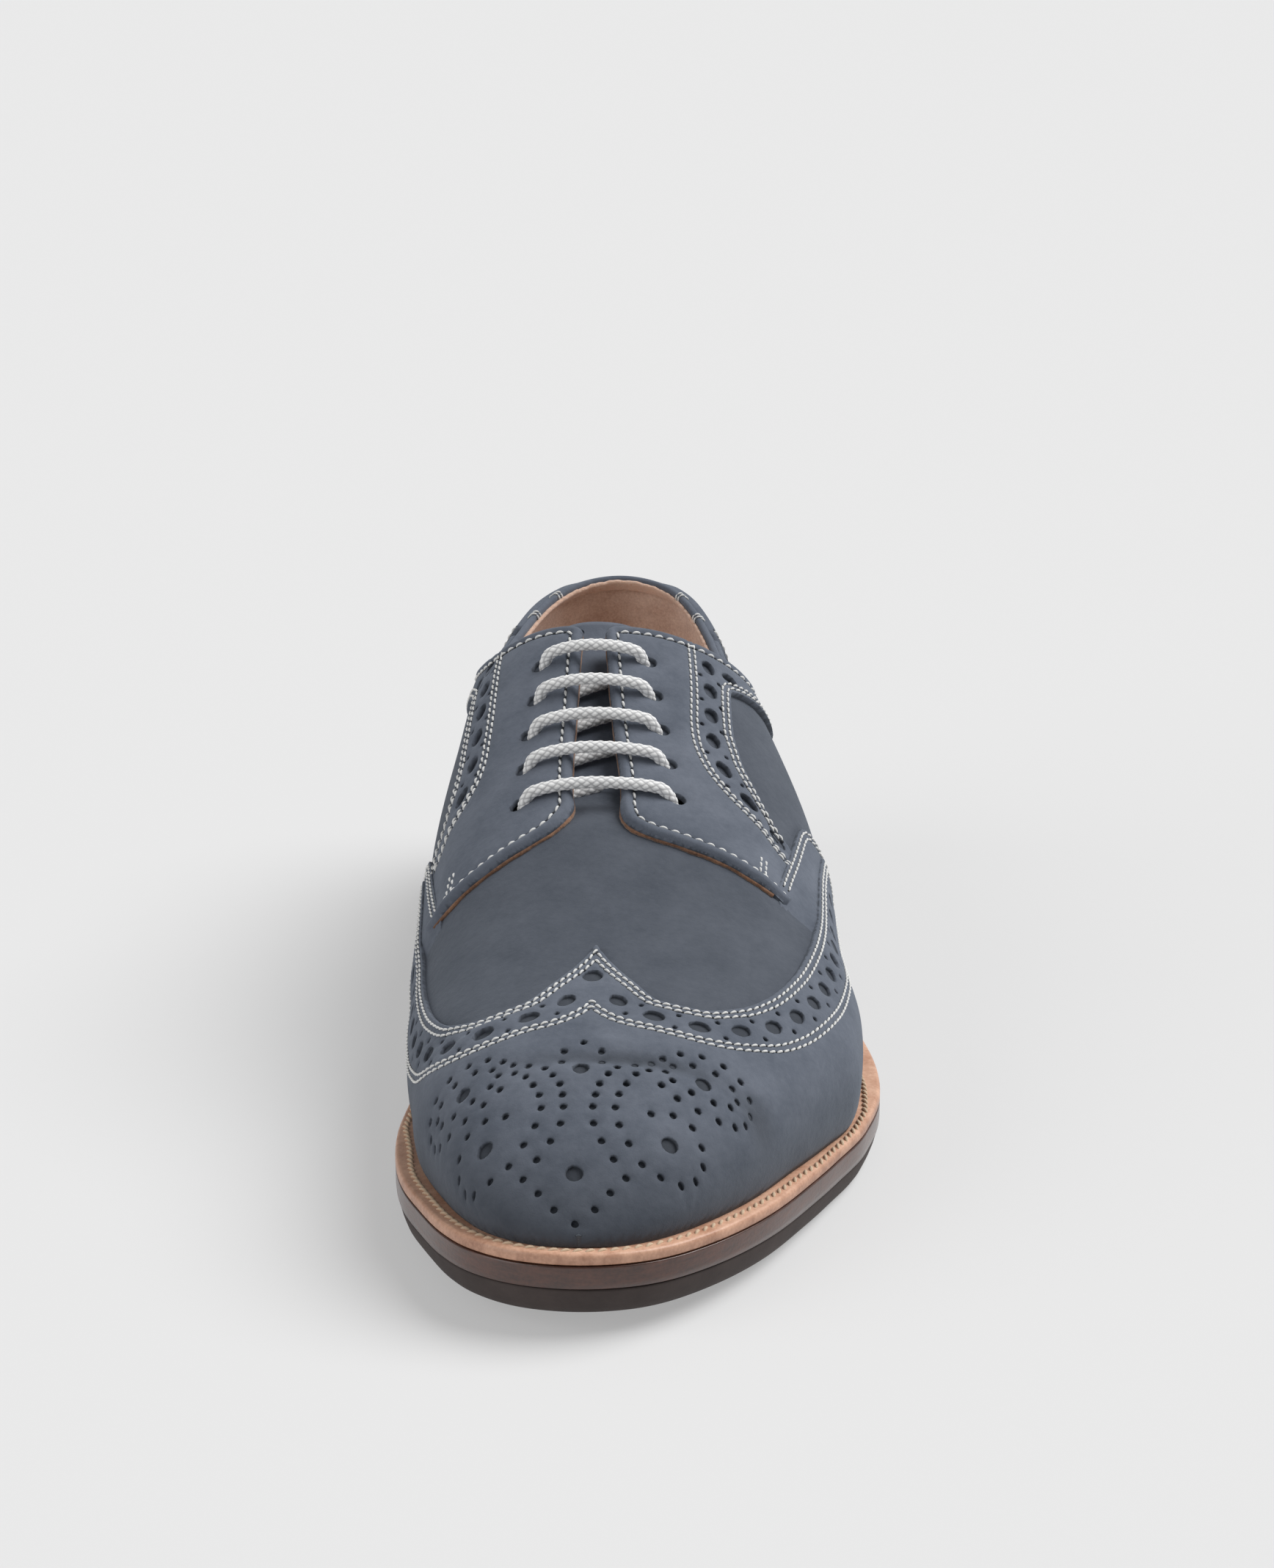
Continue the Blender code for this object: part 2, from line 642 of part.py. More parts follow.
def make_facing(side_name, parts, finish):
    """Facing with its eyelets, running on as a band along the collar: ruled between its two edges."""
    side = SIDES[side_name]
    front = FACING_FRONT[side_name]["station"]
    front_height = FACING_FRONT[side_name]["height"]
    throat = np.linspace(FACING_FOOT, THROAT_TOP + 0.4, 10)
    collar_front = np.linspace(THROAT_TOP - 2.0, BAND_BEND, 7)
    collar_rear = np.linspace(HEEL_BREAST + 1.0, BAND_END, 6)
    collar = np.concatenate([collar_front, collar_rear])
    upper_edge = np.concatenate([
        np.stack([front, v_at_height(front, front_height)], -1),
        np.stack([throat, open_edge(throat, side)], -1),
    ])
    rear = FACING_REAR[side_name]["station"]
    lower_edge = np.stack([rear, v_at_height(rear, FACING_REAR[side_name]["height"])], -1)
    band_top = np.stack([collar, open_edge(collar, side)], -1)
    low_height = value(BAND_LOW, side_name, collar)
    band_low = np.stack([collar, v_at_height(collar, low_height)], -1)
    facing_rows, lines_across = 18, 5
    top = np.concatenate([resample(upper_edge, facing_rows), band_top])
    low = np.concatenate([resample(lower_edge, facing_rows), band_low])
    across = np.linspace(0.0, 1.0, lines_across)[:, None, None]
    grid = low + (top - low) * across
    points = overlay_point(grid[..., 0], side, grid[..., 1])
    return shell("facing_" + side_name, [points], OVERLAY_THICK, parts, finish)


def make_counter(parts, finish):
    """Heel counter around the back, with a front edge that sweeps down and forward."""
    rows_up, columns_back = 7, 9
    first = LAST["station"][0]
    share = np.sin(np.linspace(0.0, math.pi / 2, columns_back))
    lowest = feather(first) + COUNTER_LIFT
    sheets = []
    for column, side in SIDES.items():
        rim = value(COLLAR, column, COUNTER_RIM) - COUNTER_DROP
        rows = []
        for height in np.linspace(0.0, 1.0, rows_up):
            front = value(COUNTER, "station", lowest + (rim - lowest) * height)
            station = front - (front - first) * share
            bottom = feather(station) + COUNTER_LIFT
            top = value(COLLAR, column, station) - COUNTER_DROP
            v = v_at_height(station, bottom + (top - bottom) * height)
            rows.append(overlay_point(station, side, v))
        sheets.append(np.array(rows))
    return shell("counter", sheets, OVERLAY_THICK, parts, finish)


def make_tongue(parts, finish):
    """A leaf under the throat, from inside the vamp to just above the facings."""
    across, rows_along = 5, 15
    sheets = []
    for side in (MEDIAL, LATERAL):
        rows = []
        for station in np.linspace(TONGUE["station"][0], TONGUE["station"][-1], rows_along):
            girth = np.linspace(0.0, value(TONGUE, "half_width", station), across)
            v = v_at_girth(np.full(across, station), side, girth)
            rows.append(last_point(station, side, v, -value(TONGUE, "drop", station)))
        sheets.append(np.array(rows))
    return shell("tongue", sheets, TONGUE_THICK, parts, finish)


def eyelet_place(row, side):
    """Centre and outward direction of an eyelet on the facing's outer face."""
    station, girth = EYELETS["station"][row], EYELETS["girth"][row]
    v = v_at_girth([station], side, [girth])[0]
    here = overlay_point(station, side, v)
    ahead = overlay_point(station + 1.0, side, v) - here
    up = overlay_point(station, side, v + 0.01) - here
    out = np.cross(up, ahead) * side
    out = out / np.linalg.norm(out)
    return here, out if out[2] > 0 else -out


def make_lace_bar(row, parts, finish):
    """One bar of the lace: out of one eyelet, arched over the facings, into the other."""
    left, left_out = eyelet_place(row, MEDIAL)
    right, right_out = eyelet_place(row, LATERAL)
    station = EYELETS["station"][row]
    reach, count = 0.9, 6
    path = [left - left_out * LACE_DIP]
    for share in np.linspace(-reach, reach, count):
        side = MEDIAL if share < 0 else LATERAL
        v = v_at_girth([station], side, [abs(share) * EYELETS["girth"][row]])[0]
        lift = LACE_DIAMETER / 2 + LACE_CLEAR + LACE_ARCH * (1 - share ** 2)
        path.append(last_point(station, side, v, OVERLAY_GAP + OVERLAY_THICK + lift))
    path.append(right - right_out * LACE_DIP)
    curve = bpy.data.curves.new("lace_bar", "CURVE")
    curve.dimensions = "3D"
    curve.bevel_depth = LACE_DIAMETER / 2 * MM
    curve.bevel_resolution = 2
    curve.use_fill_caps = True
    spline = curve.splines.new("POLY")
    spline.points.add(len(path) - 1)
    for point, place in zip(spline.points, path):
        point.co = (*(place * MM), 1.0)
    made = bpy.data.objects.new("lace_bar_%d" % (row + 1), curve)
    made.data.materials.append(finish)
    parts.objects.link(made)


def cut_eyelets(pieces, cutters):
    """Bores every eyelet through the facings and the upper behind them."""
    depth, segments = 16.0, 12
    for row in range(len(EYELETS["station"])):
        for side_name, side in SIDES.items():
            place, out = eyelet_place(row, side)
            builder = bmesh.new()
            bmesh.ops.create_cone(
                builder, cap_ends=True, segments=segments, depth=depth * MM,
                radius1=EYELET_DIAMETER / 2 * MM, radius2=EYELET_DIAMETER / 2 * MM,
            )
            cutter = put_in(builder, "eyelet_%s_%d" % (side_name, row + 1), cutters)
            tilt = math.atan2(out[0], out[2])
            pitch = -math.asin(out[1])
            cutter.rotation_euler = (pitch, tilt, 0.0)
            cutter.location = place * MM
            cutter.hide_render = True
            cutter.display_type = "WIRE"
            for piece in (pieces["upper"], pieces["facing_" + side_name]):
                bore = piece.modifiers.new("eyelet", "BOOLEAN")
                bore.operation = "DIFFERENCE"
                bore.object = cutter


def main():
    clear_scene()
    parts = new_collection("full_brogue_derby")
    cutters = new_collection("cutters")
    nubuck = material("slate_nubuck", (0.085, 0.105, 0.13), 0.85)
    welt_leather = material("tan_welt_leather", (0.42, 0.22, 0.12), 0.55)
    edge_leather = material("brown_edge_leather", (0.20, 0.11, 0.07), 0.5)
    rubber = material("dark_brown_rubber", (0.045, 0.035, 0.03), 0.75)
    lining = material("brown_lining_leather", (0.36, 0.21, 0.14), 0.75)
    cord = material("light_grey_lace", (0.72, 0.71, 0.69), 0.8)
    make_outsole(parts, rubber)
    make_heel(parts, rubber)
    make_midsole(parts, edge_leather)
    make_welt(parts, welt_leather)
    make_insole(parts, lining)
    pieces = {"upper": make_upper(parts, nubuck)}
    make_tongue(parts, nubuck)
    make_wing_cap(parts, nubuck)
    make_counter(parts, nubuck)
    for side_name in SIDES:
        pieces["facing_" + side_name] = make_facing(side_name, parts, nubuck)
    cut_eyelets(pieces, cutters)
    for row in range(len(EYELETS["station"])):
        make_lace_bar(row, parts, cord)


main()
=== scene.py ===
import math

import bmesh
import bpy
import numpy as np
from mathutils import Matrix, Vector
from mathutils.geometry import delaunay_2d_cdt


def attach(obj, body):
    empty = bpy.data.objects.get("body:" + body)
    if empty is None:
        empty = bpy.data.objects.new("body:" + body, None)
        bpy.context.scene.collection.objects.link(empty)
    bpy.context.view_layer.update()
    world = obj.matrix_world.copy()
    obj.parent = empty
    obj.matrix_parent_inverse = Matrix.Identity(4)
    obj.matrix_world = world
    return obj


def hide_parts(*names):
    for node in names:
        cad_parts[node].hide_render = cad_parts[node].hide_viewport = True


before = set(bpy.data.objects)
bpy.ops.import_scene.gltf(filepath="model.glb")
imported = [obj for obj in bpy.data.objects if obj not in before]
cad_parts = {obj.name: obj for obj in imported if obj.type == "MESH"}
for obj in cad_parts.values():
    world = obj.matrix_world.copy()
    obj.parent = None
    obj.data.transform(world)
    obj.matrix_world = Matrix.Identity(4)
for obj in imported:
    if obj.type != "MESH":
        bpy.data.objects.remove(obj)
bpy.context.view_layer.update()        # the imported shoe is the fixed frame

mm = 0.001

# The shoe, in millimetres: toe at -Y, heel at +Y, the outer side of the foot at +X
shoe = {
    "length": 310.0,          # of the sole
    "axisX": 2.474,           # middle of the shoe's box, from the last's own axis
    "gap": 0.3,
    "outsole": 6.2,
    "midsole": 4.6,
    "welt": 2.5,
    "heelBreast": 86.0,
    "throatTop": 120.0,
    "leanEnd": 80.0,
    "ridgeReach": 0.45,       # how far the ridge may leave the middle, as a share of the half width
    "tuckReach": 0.5,
    "wideGirth": 0.25,        # share of the girth parameter below the widest line
    "gridStations": 520,
    "gridLines": 161,
}
sides = {"medial": -1.0, "lateral": 1.0}
stack = shoe["outsole"] + shoe["midsole"] + shoe["welt"] + 3 * shoe["gap"]


def table(names, *rows):
    return dict(zip(names.split(), np.array(rows, float).T))


lastTable = table(
    "station medial lateral ridge wide top tuckMedial tuckLateral sidePower topPower",
    (4.5, -6.0, -6.0, -6.0, 52.0, 91.0, 4.0, 4.0, 2.2, 2.4),
    (12, -27.4, 15.0, -5.8, 52.0, 91.0, 4.0, 4.0, 2.2, 2.4),
    (34, -37.8, 23.8, -6.2, 52.0, 91.0, 5.0, 5.0, 2.1, 2.4),
    (63, -41.0, 26.4, -8.0, 52.0, 95.0, 6.0, 5.0, 2.15, 2.3),
    (93, -44.4, 31.2, -9.6, 50.0, 106.0, 7.0, 5.0, 2.1, 2.25),
    (120, -47.4, 39.8, -10.0, 45.0, 98.5, 8.0, 5.0, 2.1, 2.08),
    (152, -49.9, 46.8, -9.2, 38.0, 84.5, 8.0, 4.0, 2.1, 2.08),
    (188, -49.8, 48.8, -7.4, 31.0, 70.5, 5.0, 3.0, 2.1, 1.95),
    (211, -49.2, 52.5, -6.8, 27.0, 61.0, 3.5, 3.0, 2.2, 1.97),
    (232, -47.8, 51.4, -6.6, 25.5, 54.5, 3.0, 3.0, 2.3, 2.05),
    (248, -45.5, 44.6, -6.9, 25.0, 51.2, 3.0, 3.0, 2.35, 2.15),
    (264, -43.2, 35.6, -7.4, 24.8, 48.0, 2.5, 2.5, 2.3, 2.15),
    (277.5, -38.4, 28.0, -7.9, 24.6, 43.8, 2.2, 2.2, 2.25, 2.1),
    (289.5, -33.1, 19.4, -8.3, 24.2, 36.8, 2.0, 2.0, 2.2, 2.1),
    (297.7, -27.2, 11.7, -8.5, 23.3, 30.0, 1.5, 1.5, 2.1, 2.0),
    (302.8, -20.0, 4.2, -8.3, 22.2, 25.2, 1.0, 1.0, 2.0, 2.0),
    (305.5, -8.0, -8.0, -8.0, 20.8, 21.8, 0.0, 0.0, 2.0, 2.0),
)
solePlan = table(
    "station medial lateral",
    (0, -6.6, -6.6),
    (4, -22.8, 9.7),
    (14, -33.1, 20.2),
    (35.5, -40.0, 27.2),
    (71, -40.5, 29.5),
    (111.5, -37.5, 34.0),
    (142, -37.5, 42.5),
    (167, -41.5, 51.7),
    (192.5, -45.9, 57.4),
    (213, -48.8, 57.9),
    (231, -50.5, 53.9),
    (249, -50.3, 46.6),
    (265.5, -47.5, 38.9),
    (279.7, -42.4, 31.5),
    (292, -36.9, 23.0),
    (301, -30.4, 14.6),
    (307, -21.9, 5.9),
    (310, -8.0, -8.0),
)
soleLine = table(
    "station height",
    (0, 18.3), (71, 18.3), (93, 16.3), (120, 11.3), (152, 4.4), (175, 1.0), (190, 0.0),
    (226, 0.0), (254, 1.1), (272, 2.1), (285, 3.1), (294, 3.9), (310, 5.4),
)
collarTable = table(
    "station medial lateral",
    (4.5, 84.0, 84.0), (25, 81.8, 81.3), (52, 77.2, 75.6), (78, 77.0, 73.2), (93, 80.0, 74.5),
    (102, 83.3, 77.0), (110, 87.8, 82.3), (113, 90.2, 86.2), (116, 93.7, 90.6), (118, 96.5, 94.2),
    (120, 98.4, 97.6),
)
throatTable = table("station halfGap", (120, 2.7), (150, 4.2), (178, 5.7), (184, 5.0), (187.5, 0.0))
heelCurve = table("height lean", (30, 3.0), (42, 0.8), (53, 0.0), (70, 1.6), (88, 6.0), (110, 14.0))


# Monotone cubic through a table's points: it never swings past a row's value
def smooth(x, xs, ys):
    x = np.clip(np.asarray(x, float), xs[0], xs[-1])
    step = np.diff(xs)
    slope = np.diff(ys) / step
    before, after = slope[:-1], slope[1:]
    weightBefore = 2 * step[1:] + step[:-1]
    weightAfter = step[1:] + 2 * step[:-1]
    sameWay = before * after > 0
    mean = (weightBefore + weightAfter) / (
        weightBefore / np.where(sameWay, before, 1.0) + weightAfter / np.where(sameWay, after, 1.0))
    tangent = np.concatenate([slope[:1], np.where(sameWay, mean, 0.0), slope[-1:]])
    i = np.clip(np.searchsorted(xs, x) - 1, 0, len(step) - 1)
    t = (x - xs[i]) / step[i]
    start = (1 + 2 * t) * (1 - t) ** 2 * ys[i] + t * (1 - t) ** 2 * step[i] * tangent[i]
    return start + t * t * (3 - 2 * t) * ys[i + 1] + t * t * (t - 1) * step[i] * tangent[i + 1]


def column(rows, name, at):
    return smooth(at, next(iter(rows.values())), rows[name])


# A column read from the medial or the lateral one, as the side asks
def bySide(rows, side, at, medial="medial", lateral="lateral"):
    return np.where(side < 0, column(rows, medial, at), column(rows, lateral, at))


def sideName(side):
    return "medial" if side < 0 else "lateral"


def spread(*values):
    return np.broadcast_arrays(*(np.asarray(value, float) for value in values))


# Places that lie closer together towards both ends
def closerAtEnds(first, end, count):
    return first + (end - first) * (1 - np.cos(np.linspace(0, math.pi, count))) / 2


# Both edges of a plan; the half width is smoothed as a square, so the ends are round
def planEdges(rows, station):
    middle = smooth(station, rows["station"], (rows["medial"] + rows["lateral"]) / 2)
    half = (rows["lateral"] - rows["medial"]) / 2
    half = np.sqrt(np.maximum(smooth(station, rows["station"], half ** 2), 0.0))
    return middle - half, middle + half


def ramp(x, start, end):
    t = np.clip((x - start) / (end - start), 0.0, 1.0)
    return t * t * (3 - 2 * t)


def feather(station):
    return column(soleLine, "height", station) + stack


def along(station):
    return shoe["length"] / 2 - station


def heelLean(station, height):
    first = lastTable["station"][0]
    return column(heelCurve, "lean", height) * ramp(shoe["leanEnd"] - station, 0.0, shoe["leanEnd"] - first)


# The last: at each station a quarter superellipse from the widest line to the ridge on each side,
# and a quarter ellipse that turns in below it; v is 0 at the feather edge and 1 at the ridge
def lastPoint(station, side, v):
    station, side, v = spread(station, side, v)
    medial, lateral = planEdges(lastTable, station)
    half, middle = (lateral - medial) / 2, (lateral + medial) / 2
    reach = shoe["ridgeReach"] * half
    ridge = middle + np.clip(column(lastTable, "ridge", station) - middle, -reach, reach)
    edge = np.where(side < 0, medial, lateral)
    tuck = bySide(lastTable, side, station, "tuckMedial", "tuckLateral")
    tuck = np.minimum(tuck, shoe["tuckReach"] * half)
    low, wide = feather(station) + shoe["gap"], column(lastTable, "wide", station)
    top = column(lastTable, "top", station)
    turn = np.clip((v - shoe["wideGirth"]) / (1 - shoe["wideGirth"]), 0.0, 1.0) * math.pi / 2
    under = np.clip(1 - v / shoe["wideGirth"], 0.0, 1.0)
    xAbove = ridge + (edge - ridge) * np.cos(turn) ** (2 / column(lastTable, "sidePower", station))
    zAbove = wide + (top - wide) * np.sin(turn) ** (2 / column(lastTable, "topPower", station))
    xBelow = edge - side * tuck * (1 - np.sqrt(1 - under ** 2))
    x = np.where(v < shoe["wideGirth"], xBelow, xAbove)
    z = np.where(v < shoe["wideGirth"], wide + (low - wide) * under, zAbove)
    return np.stack([x - shoe["axisX"], along(station + heelLean(station, z)), z], -1)


def unit(vectors):
    return vectors / np.maximum(np.linalg.norm(vectors, axis=-1, keepdims=True), 1e-9)


# Outward direction: the cross product of the steps up the girth and along the last
def lastNormal(station, side, v):
    stepAlong, stepUp = 0.2, 0.004
    first, end = lastTable["station"][[0, -1]]
    ahead = lastPoint(np.minimum(station + stepAlong, end), side, v)
    behind = lastPoint(np.maximum(station - stepAlong, first), side, v)
    up = lastPoint(station, side, np.minimum(v + stepUp, 1.0))
    down = lastPoint(station, side, np.maximum(v - stepUp, 0.0))
    return unit(np.cross(up - down, ahead - behind) * np.asarray(side, float)[..., None])


def offLast(station, side, v, lift):
    station, side, v, lift = spread(station, side, v, lift)
    return lastPoint(station, side, v) + lastNormal(station, side, v) * lift[..., None]


# Girth tables: length along the section from the ridge, for each station and side, and the reverse
firstStation, endStation = lastTable["station"][[0, -1]]
gridStation = closerAtEnds(firstStation, endStation, shoe["gridStations"])
gridShare = np.linspace(0.0, 1.0, shoe["gridLines"])
girthOfV, vOfGirth, wholeGirth = [], [], []
for side in sides.values():
    section = lastPoint(gridStation[:, None], side, gridShare[::-1])
    length = np.cumsum(np.linalg.norm(np.diff(section, axis=1), axis=2), axis=1)
    length = np.concatenate([np.zeros((len(gridStation), 1)), length], 1)
    girthOfV.append(length[:, ::-1])
    wholeGirth.append(length[:, -1])
    vOfGirth.append([np.interp(gridShare * row[-1], row, gridShare[::-1]) for row in length])
girthOfV, vOfGirth, wholeGirth = np.array(girthOfV), np.array(vOfGirth), np.array(wholeGirth)


def lookUp(grid, which, row, share):
    row = np.clip(row, 0, len(gridStation) - 1.001)
    share = np.clip(share, 0.0, 1.0) * (len(gridShare) - 1.001)
    i, j = row.astype(int), share.astype(int)
    a, b = row - i, share - j
    low = grid[which, i, j] * (1 - b) + grid[which, i, j + 1] * b
    high = grid[which, i + 1, j] * (1 - b) + grid[which, i + 1, j + 1] * b
    return low * (1 - a) + high * a


def fullGirth(station, side):
    which = np.asarray(side) > 0
    return np.where(which, np.interp(station, gridStation, wholeGirth[1]),
                    np.interp(station, gridStation, wholeGirth[0]))


# A place on the last from pattern measures: station and girth from the ridge, medial girths negative
def onLast(station, girth, lift=0.0):
    station, girth, lift = spread(station, girth, lift)
    side = np.where(girth < 0, -1.0, 1.0)
    row = np.interp(station, gridStation, np.arange(len(gridStation)))
    share = np.abs(girth) / fullGirth(station, side)
    v = lookUp(vOfGirth, (side > 0).astype(int), row, share)
    return offLast(station, side, v, lift)


def vAtHeight(station, height):
    low, wide = feather(station) + shoe["gap"], column(lastTable, "wide", station)
    share = np.clip((height - wide) / (column(lastTable, "top", station) - wide), 0.0, 1.0)
    above = np.arcsin(share ** (column(lastTable, "topPower", station) / 2)) * 2 / math.pi
    below = np.clip((height - low) / (wide - low), 0.0, 1.0)
    border = shoe["wideGirth"]
    return np.where(height > wide, border + (1 - border) * above, border * below)


def girthAtV(station, side, v):
    station, side, v = spread(station, side, v)
    row = np.interp(station, gridStation, np.arange(len(gridStation)))
    return lookUp(girthOfV, (side > 0).astype(int), row, v)


def girthAtHeight(station, side, height):
    return side * girthAtV(station, side, vAtHeight(station, height))


# The upper's edge at a station: the collar, then the throat, then the closed ridge where there is one
def openEdge(station, side, closeAt=math.inf):
    collar = vAtHeight(station, bySide(collarTable, side, station))
    medial, lateral = planEdges(lastTable, station)
    reach = np.abs(np.where(side < 0, medial, lateral) - column(lastTable, "ridge", station))
    share = np.clip(column(throatTable, "halfGap", station) / np.maximum(reach, 1.0), 0.0, 1.0)
    turn = np.arccos(share ** (column(lastTable, "sidePower", station) / 2)) * 2 / math.pi
    throat = shoe["wideGirth"] + (1 - shoe["wideGirth"]) * turn
    edge = np.where(station <= shoe["throatTop"], np.minimum(collar, throat), throat)
    edge = np.where(station <= shoe["heelBreast"], collar, edge)
    return np.where(station >= closeAt, 1.0, edge)


# Patterns are cut on a flat sheet of arc length against girth; the arc follows the steepest line
stretch = np.max([np.linalg.norm(np.gradient(lastPoint(gridStation, side, v), gridStation, axis=0), axis=1)
                  for side in sides.values() for v in (shoe["wideGirth"], 1.0)], axis=0)
gridArc = np.concatenate([[0.0], np.cumsum((stretch[1:] + stretch[:-1]) / 2 * np.diff(gridStation))])


def toArc(station):
    return np.interp(station, gridStation, gridArc)


def toStation(arc):
    return np.interp(arc, gridArc, gridStation)


def onSheet(flat):
    return np.stack([toArc(flat[..., 0]), flat[..., 1]], -1)


def offSheet(flat):
    return np.stack([toStation(flat[..., 0]), flat[..., 1]], -1)


print("the last is ready")


# A socket of a material's nodes: arithmetic on it adds Math nodes
class Wire:
    def __init__(self, finish, socket):
        self.finish = finish
        self.socket = socket

    def __add__(self, other):
        return self.finish.sum("ADD", self, other)

    def __radd__(self, other):
        return self.finish.sum("ADD", other, self)

    def __sub__(self, other):
        return self.finish.sum("SUBTRACT", self, other)

    def __rsub__(self, other):
        return self.finish.sum("SUBTRACT", other, self)

    def __mul__(self, other):
        return self.finish.sum("MULTIPLY", self, other)

    def __rmul__(self, other):
        return self.finish.sum("MULTIPLY", other, self)

    def __pow__(self, other):
        return self.finish.sum("POWER", self, other)


# One material: constants go on the shader's own sockets, and node() adds any other node
class Finish:
    def __init__(self, name, constants):
        self.material = bpy.data.materials.new(name)
        self.material.use_nodes = True
        self.tree = self.material.node_tree
        self.shader = self.tree.nodes["Principled BSDF"]
        for socket, value in constants.items():
            self.shader.inputs[socket].default_value = value

    def node(self, kind, settings={}, sockets={}, output=0):
        made = self.tree.nodes.new(kind)
        for name, value in settings.items():
            setattr(made, name, value)
        for name, value in sockets.items():
            if isinstance(value, Wire):
                self.tree.links.new(value.socket, made.inputs[name])
            else:
                made.inputs[name].default_value = value
        return Wire(self, made.outputs[output])

    def sum(self, operation, first, second=0.0):
        return self.node("ShaderNodeMath", {"operation": operation}, {0: first, 1: second})

    def feed(self, name, wire):
        self.tree.links.new(wire.socket, self.shader.inputs[name])

    def place(self):
        return self.node("ShaderNodeTexCoord", output="Object")

    # Noise with features about the given size in millimetres
    def noise(self, size, detail, roughness, where=None):
        sockets = {"Vector": where or self.place(), "Scale": 1 / (size * mm), "Detail": detail,
                   "Roughness": roughness}
        return self.node("ShaderNodeTexNoise", {}, sockets)

    # Two colours mixed; the numbers are the node's colour sockets
    def blend(self, factor, first, second):
        return self.node("ShaderNodeMix", {"data_type": "RGBA"}, {0: factor, 6: first, 7: second}, 2)

    # From 0 to 1 while the value goes from low to high
    def between(self, value, low, high):
        return self.node("ShaderNodeMapRange", {"clamp": True},
                         {"Value": value, "From Min": low, "From Max": high})

    def mark(self, name):
        return self.node("ShaderNodeAttribute", {"attribute_name": name}, {}, "Fac")

    # Bumps in millimetres
    def bumps(self, *layers):
        normal = None
        for height, depth in layers:
            sockets = {"Height": height, "Distance": depth * mm, "Strength": 1.0}
            if normal:
                sockets["Normal"] = normal
            normal = self.node("ShaderNodeBump", {}, sockets)
        self.feed("Normal", normal)


def rgb(red, green, blue):
    return (red, green, blue, 1.0)


nubuckLook = {
    "dark": rgb(0.083, 0.097, 0.125),
    "light": rgb(0.140, 0.157, 0.193),
    # the dark end: the real colour of raw cut edges, and also the colour of painted shade
    "rawEdge": rgb(0.022, 0.025, 0.030),
    "sheen": rgb(0.62, 0.70, 0.80),
    "roughness": 0.78,
    "patch": 14.0,           # size of the clouded patches
    "fleck": 1.6,
    "nap": 0.35,             # size of the brushed nap
}


# Brushed slate leather: clouded patches, a fine nap, and where tone is low darker cut edges and painted shade
def nubuckFinish(look):
    finish = Finish("slateNubuck", {"Specular IOR Level": 0.28, "Sheen Weight": 0.22, "Sheen Roughness": 0.45,
                                    "Sheen Tint": look["sheen"]})
    patches = finish.noise(look["patch"], 4.0, 0.62)
    flecks = finish.noise(look["fleck"], 3.0, 0.6)
    nap = finish.noise(look["nap"], 3.0, 0.7)
    cloud = finish.between(patches * 0.62 + flecks * 0.25 + nap * 0.13, 0.34, 0.66)
    colour = finish.blend(cloud, look["dark"], look["light"])
    # low tone goes towards the dark end: real on cut edges, painted shade on the skin, under the wing cap,
    # low on the toe and in dents
    colour = finish.blend(finish.mark("tone"), look["rawEdge"], colour)
    finish.feed("Base Color", colour)
    finish.feed("Roughness", look["roughness"] + 0.16 * nap)
    finish.bumps((patches, 0.25), (flecks, 0.10), (nap, 0.05))
    return finish.material


liningLook = {
    # brown suede, its dark and light colours brightened to stand in for light inside the shoe: painted light
    "dark": rgb(0.560, 0.370, 0.285),
    "light": rgb(0.880, 0.690, 0.570),
    "edge": rgb(0.600, 0.370, 0.260),
    "patch": 9.0,
    "nap": 0.7,
}
rawLook = {
    **liningLook,
    "dark": rgb(0.110, 0.050, 0.026),
    "light": rgb(0.300, 0.155, 0.085),
    "edge": rgb(0.300, 0.155, 0.085),
}


# Brown suede: coarse tangled nap, another colour along its rough edge where tone is high
def liningFinish(name, look):
    finish = Finish(name, {"Specular IOR Level": 0.15, "Sheen Weight": 0.3, "Sheen Roughness": 0.6})
    patches = finish.noise(look["patch"], 3.0, 0.6)
    nap = finish.noise(look["nap"], 4.0, 0.75)
    cloud = finish.between(patches * 0.45 + nap * 0.55, 0.36, 0.64)
    colour = finish.blend(cloud, look["dark"], look["light"])
    colour = finish.blend(finish.mark("tone") * finish.between(nap, 0.3, 0.6), colour, look["edge"])
    finish.feed("Base Color", colour)
    finish.feed("Roughness", 0.85 + 0.12 * nap)
    finish.bumps((patches, 0.3), (nap, 0.22))
    return finish.material


weltLook = {
    "stain": rgb(0.120, 0.050, 0.030),
    "dark": rgb(0.50, 0.25, 0.155),
    "light": rgb(0.78, 0.49, 0.345),
    "roughness": 0.42,
    "layers": 0.6,           # how many times finer the streaks are in height than along the edge
    "gloss": 0.2,
    "streak": 6.0,
    "grain": 0.8,
}
edgeLook = {
    **weltLook,
    "stain": rgb(0.022, 0.010, 0.007),
    "dark": rgb(0.040, 0.015, 0.010),
    "light": rgb(0.100, 0.036, 0.022),
    "roughness": 0.28,
    "layers": 5.0,
    "gloss": 0.7,
}


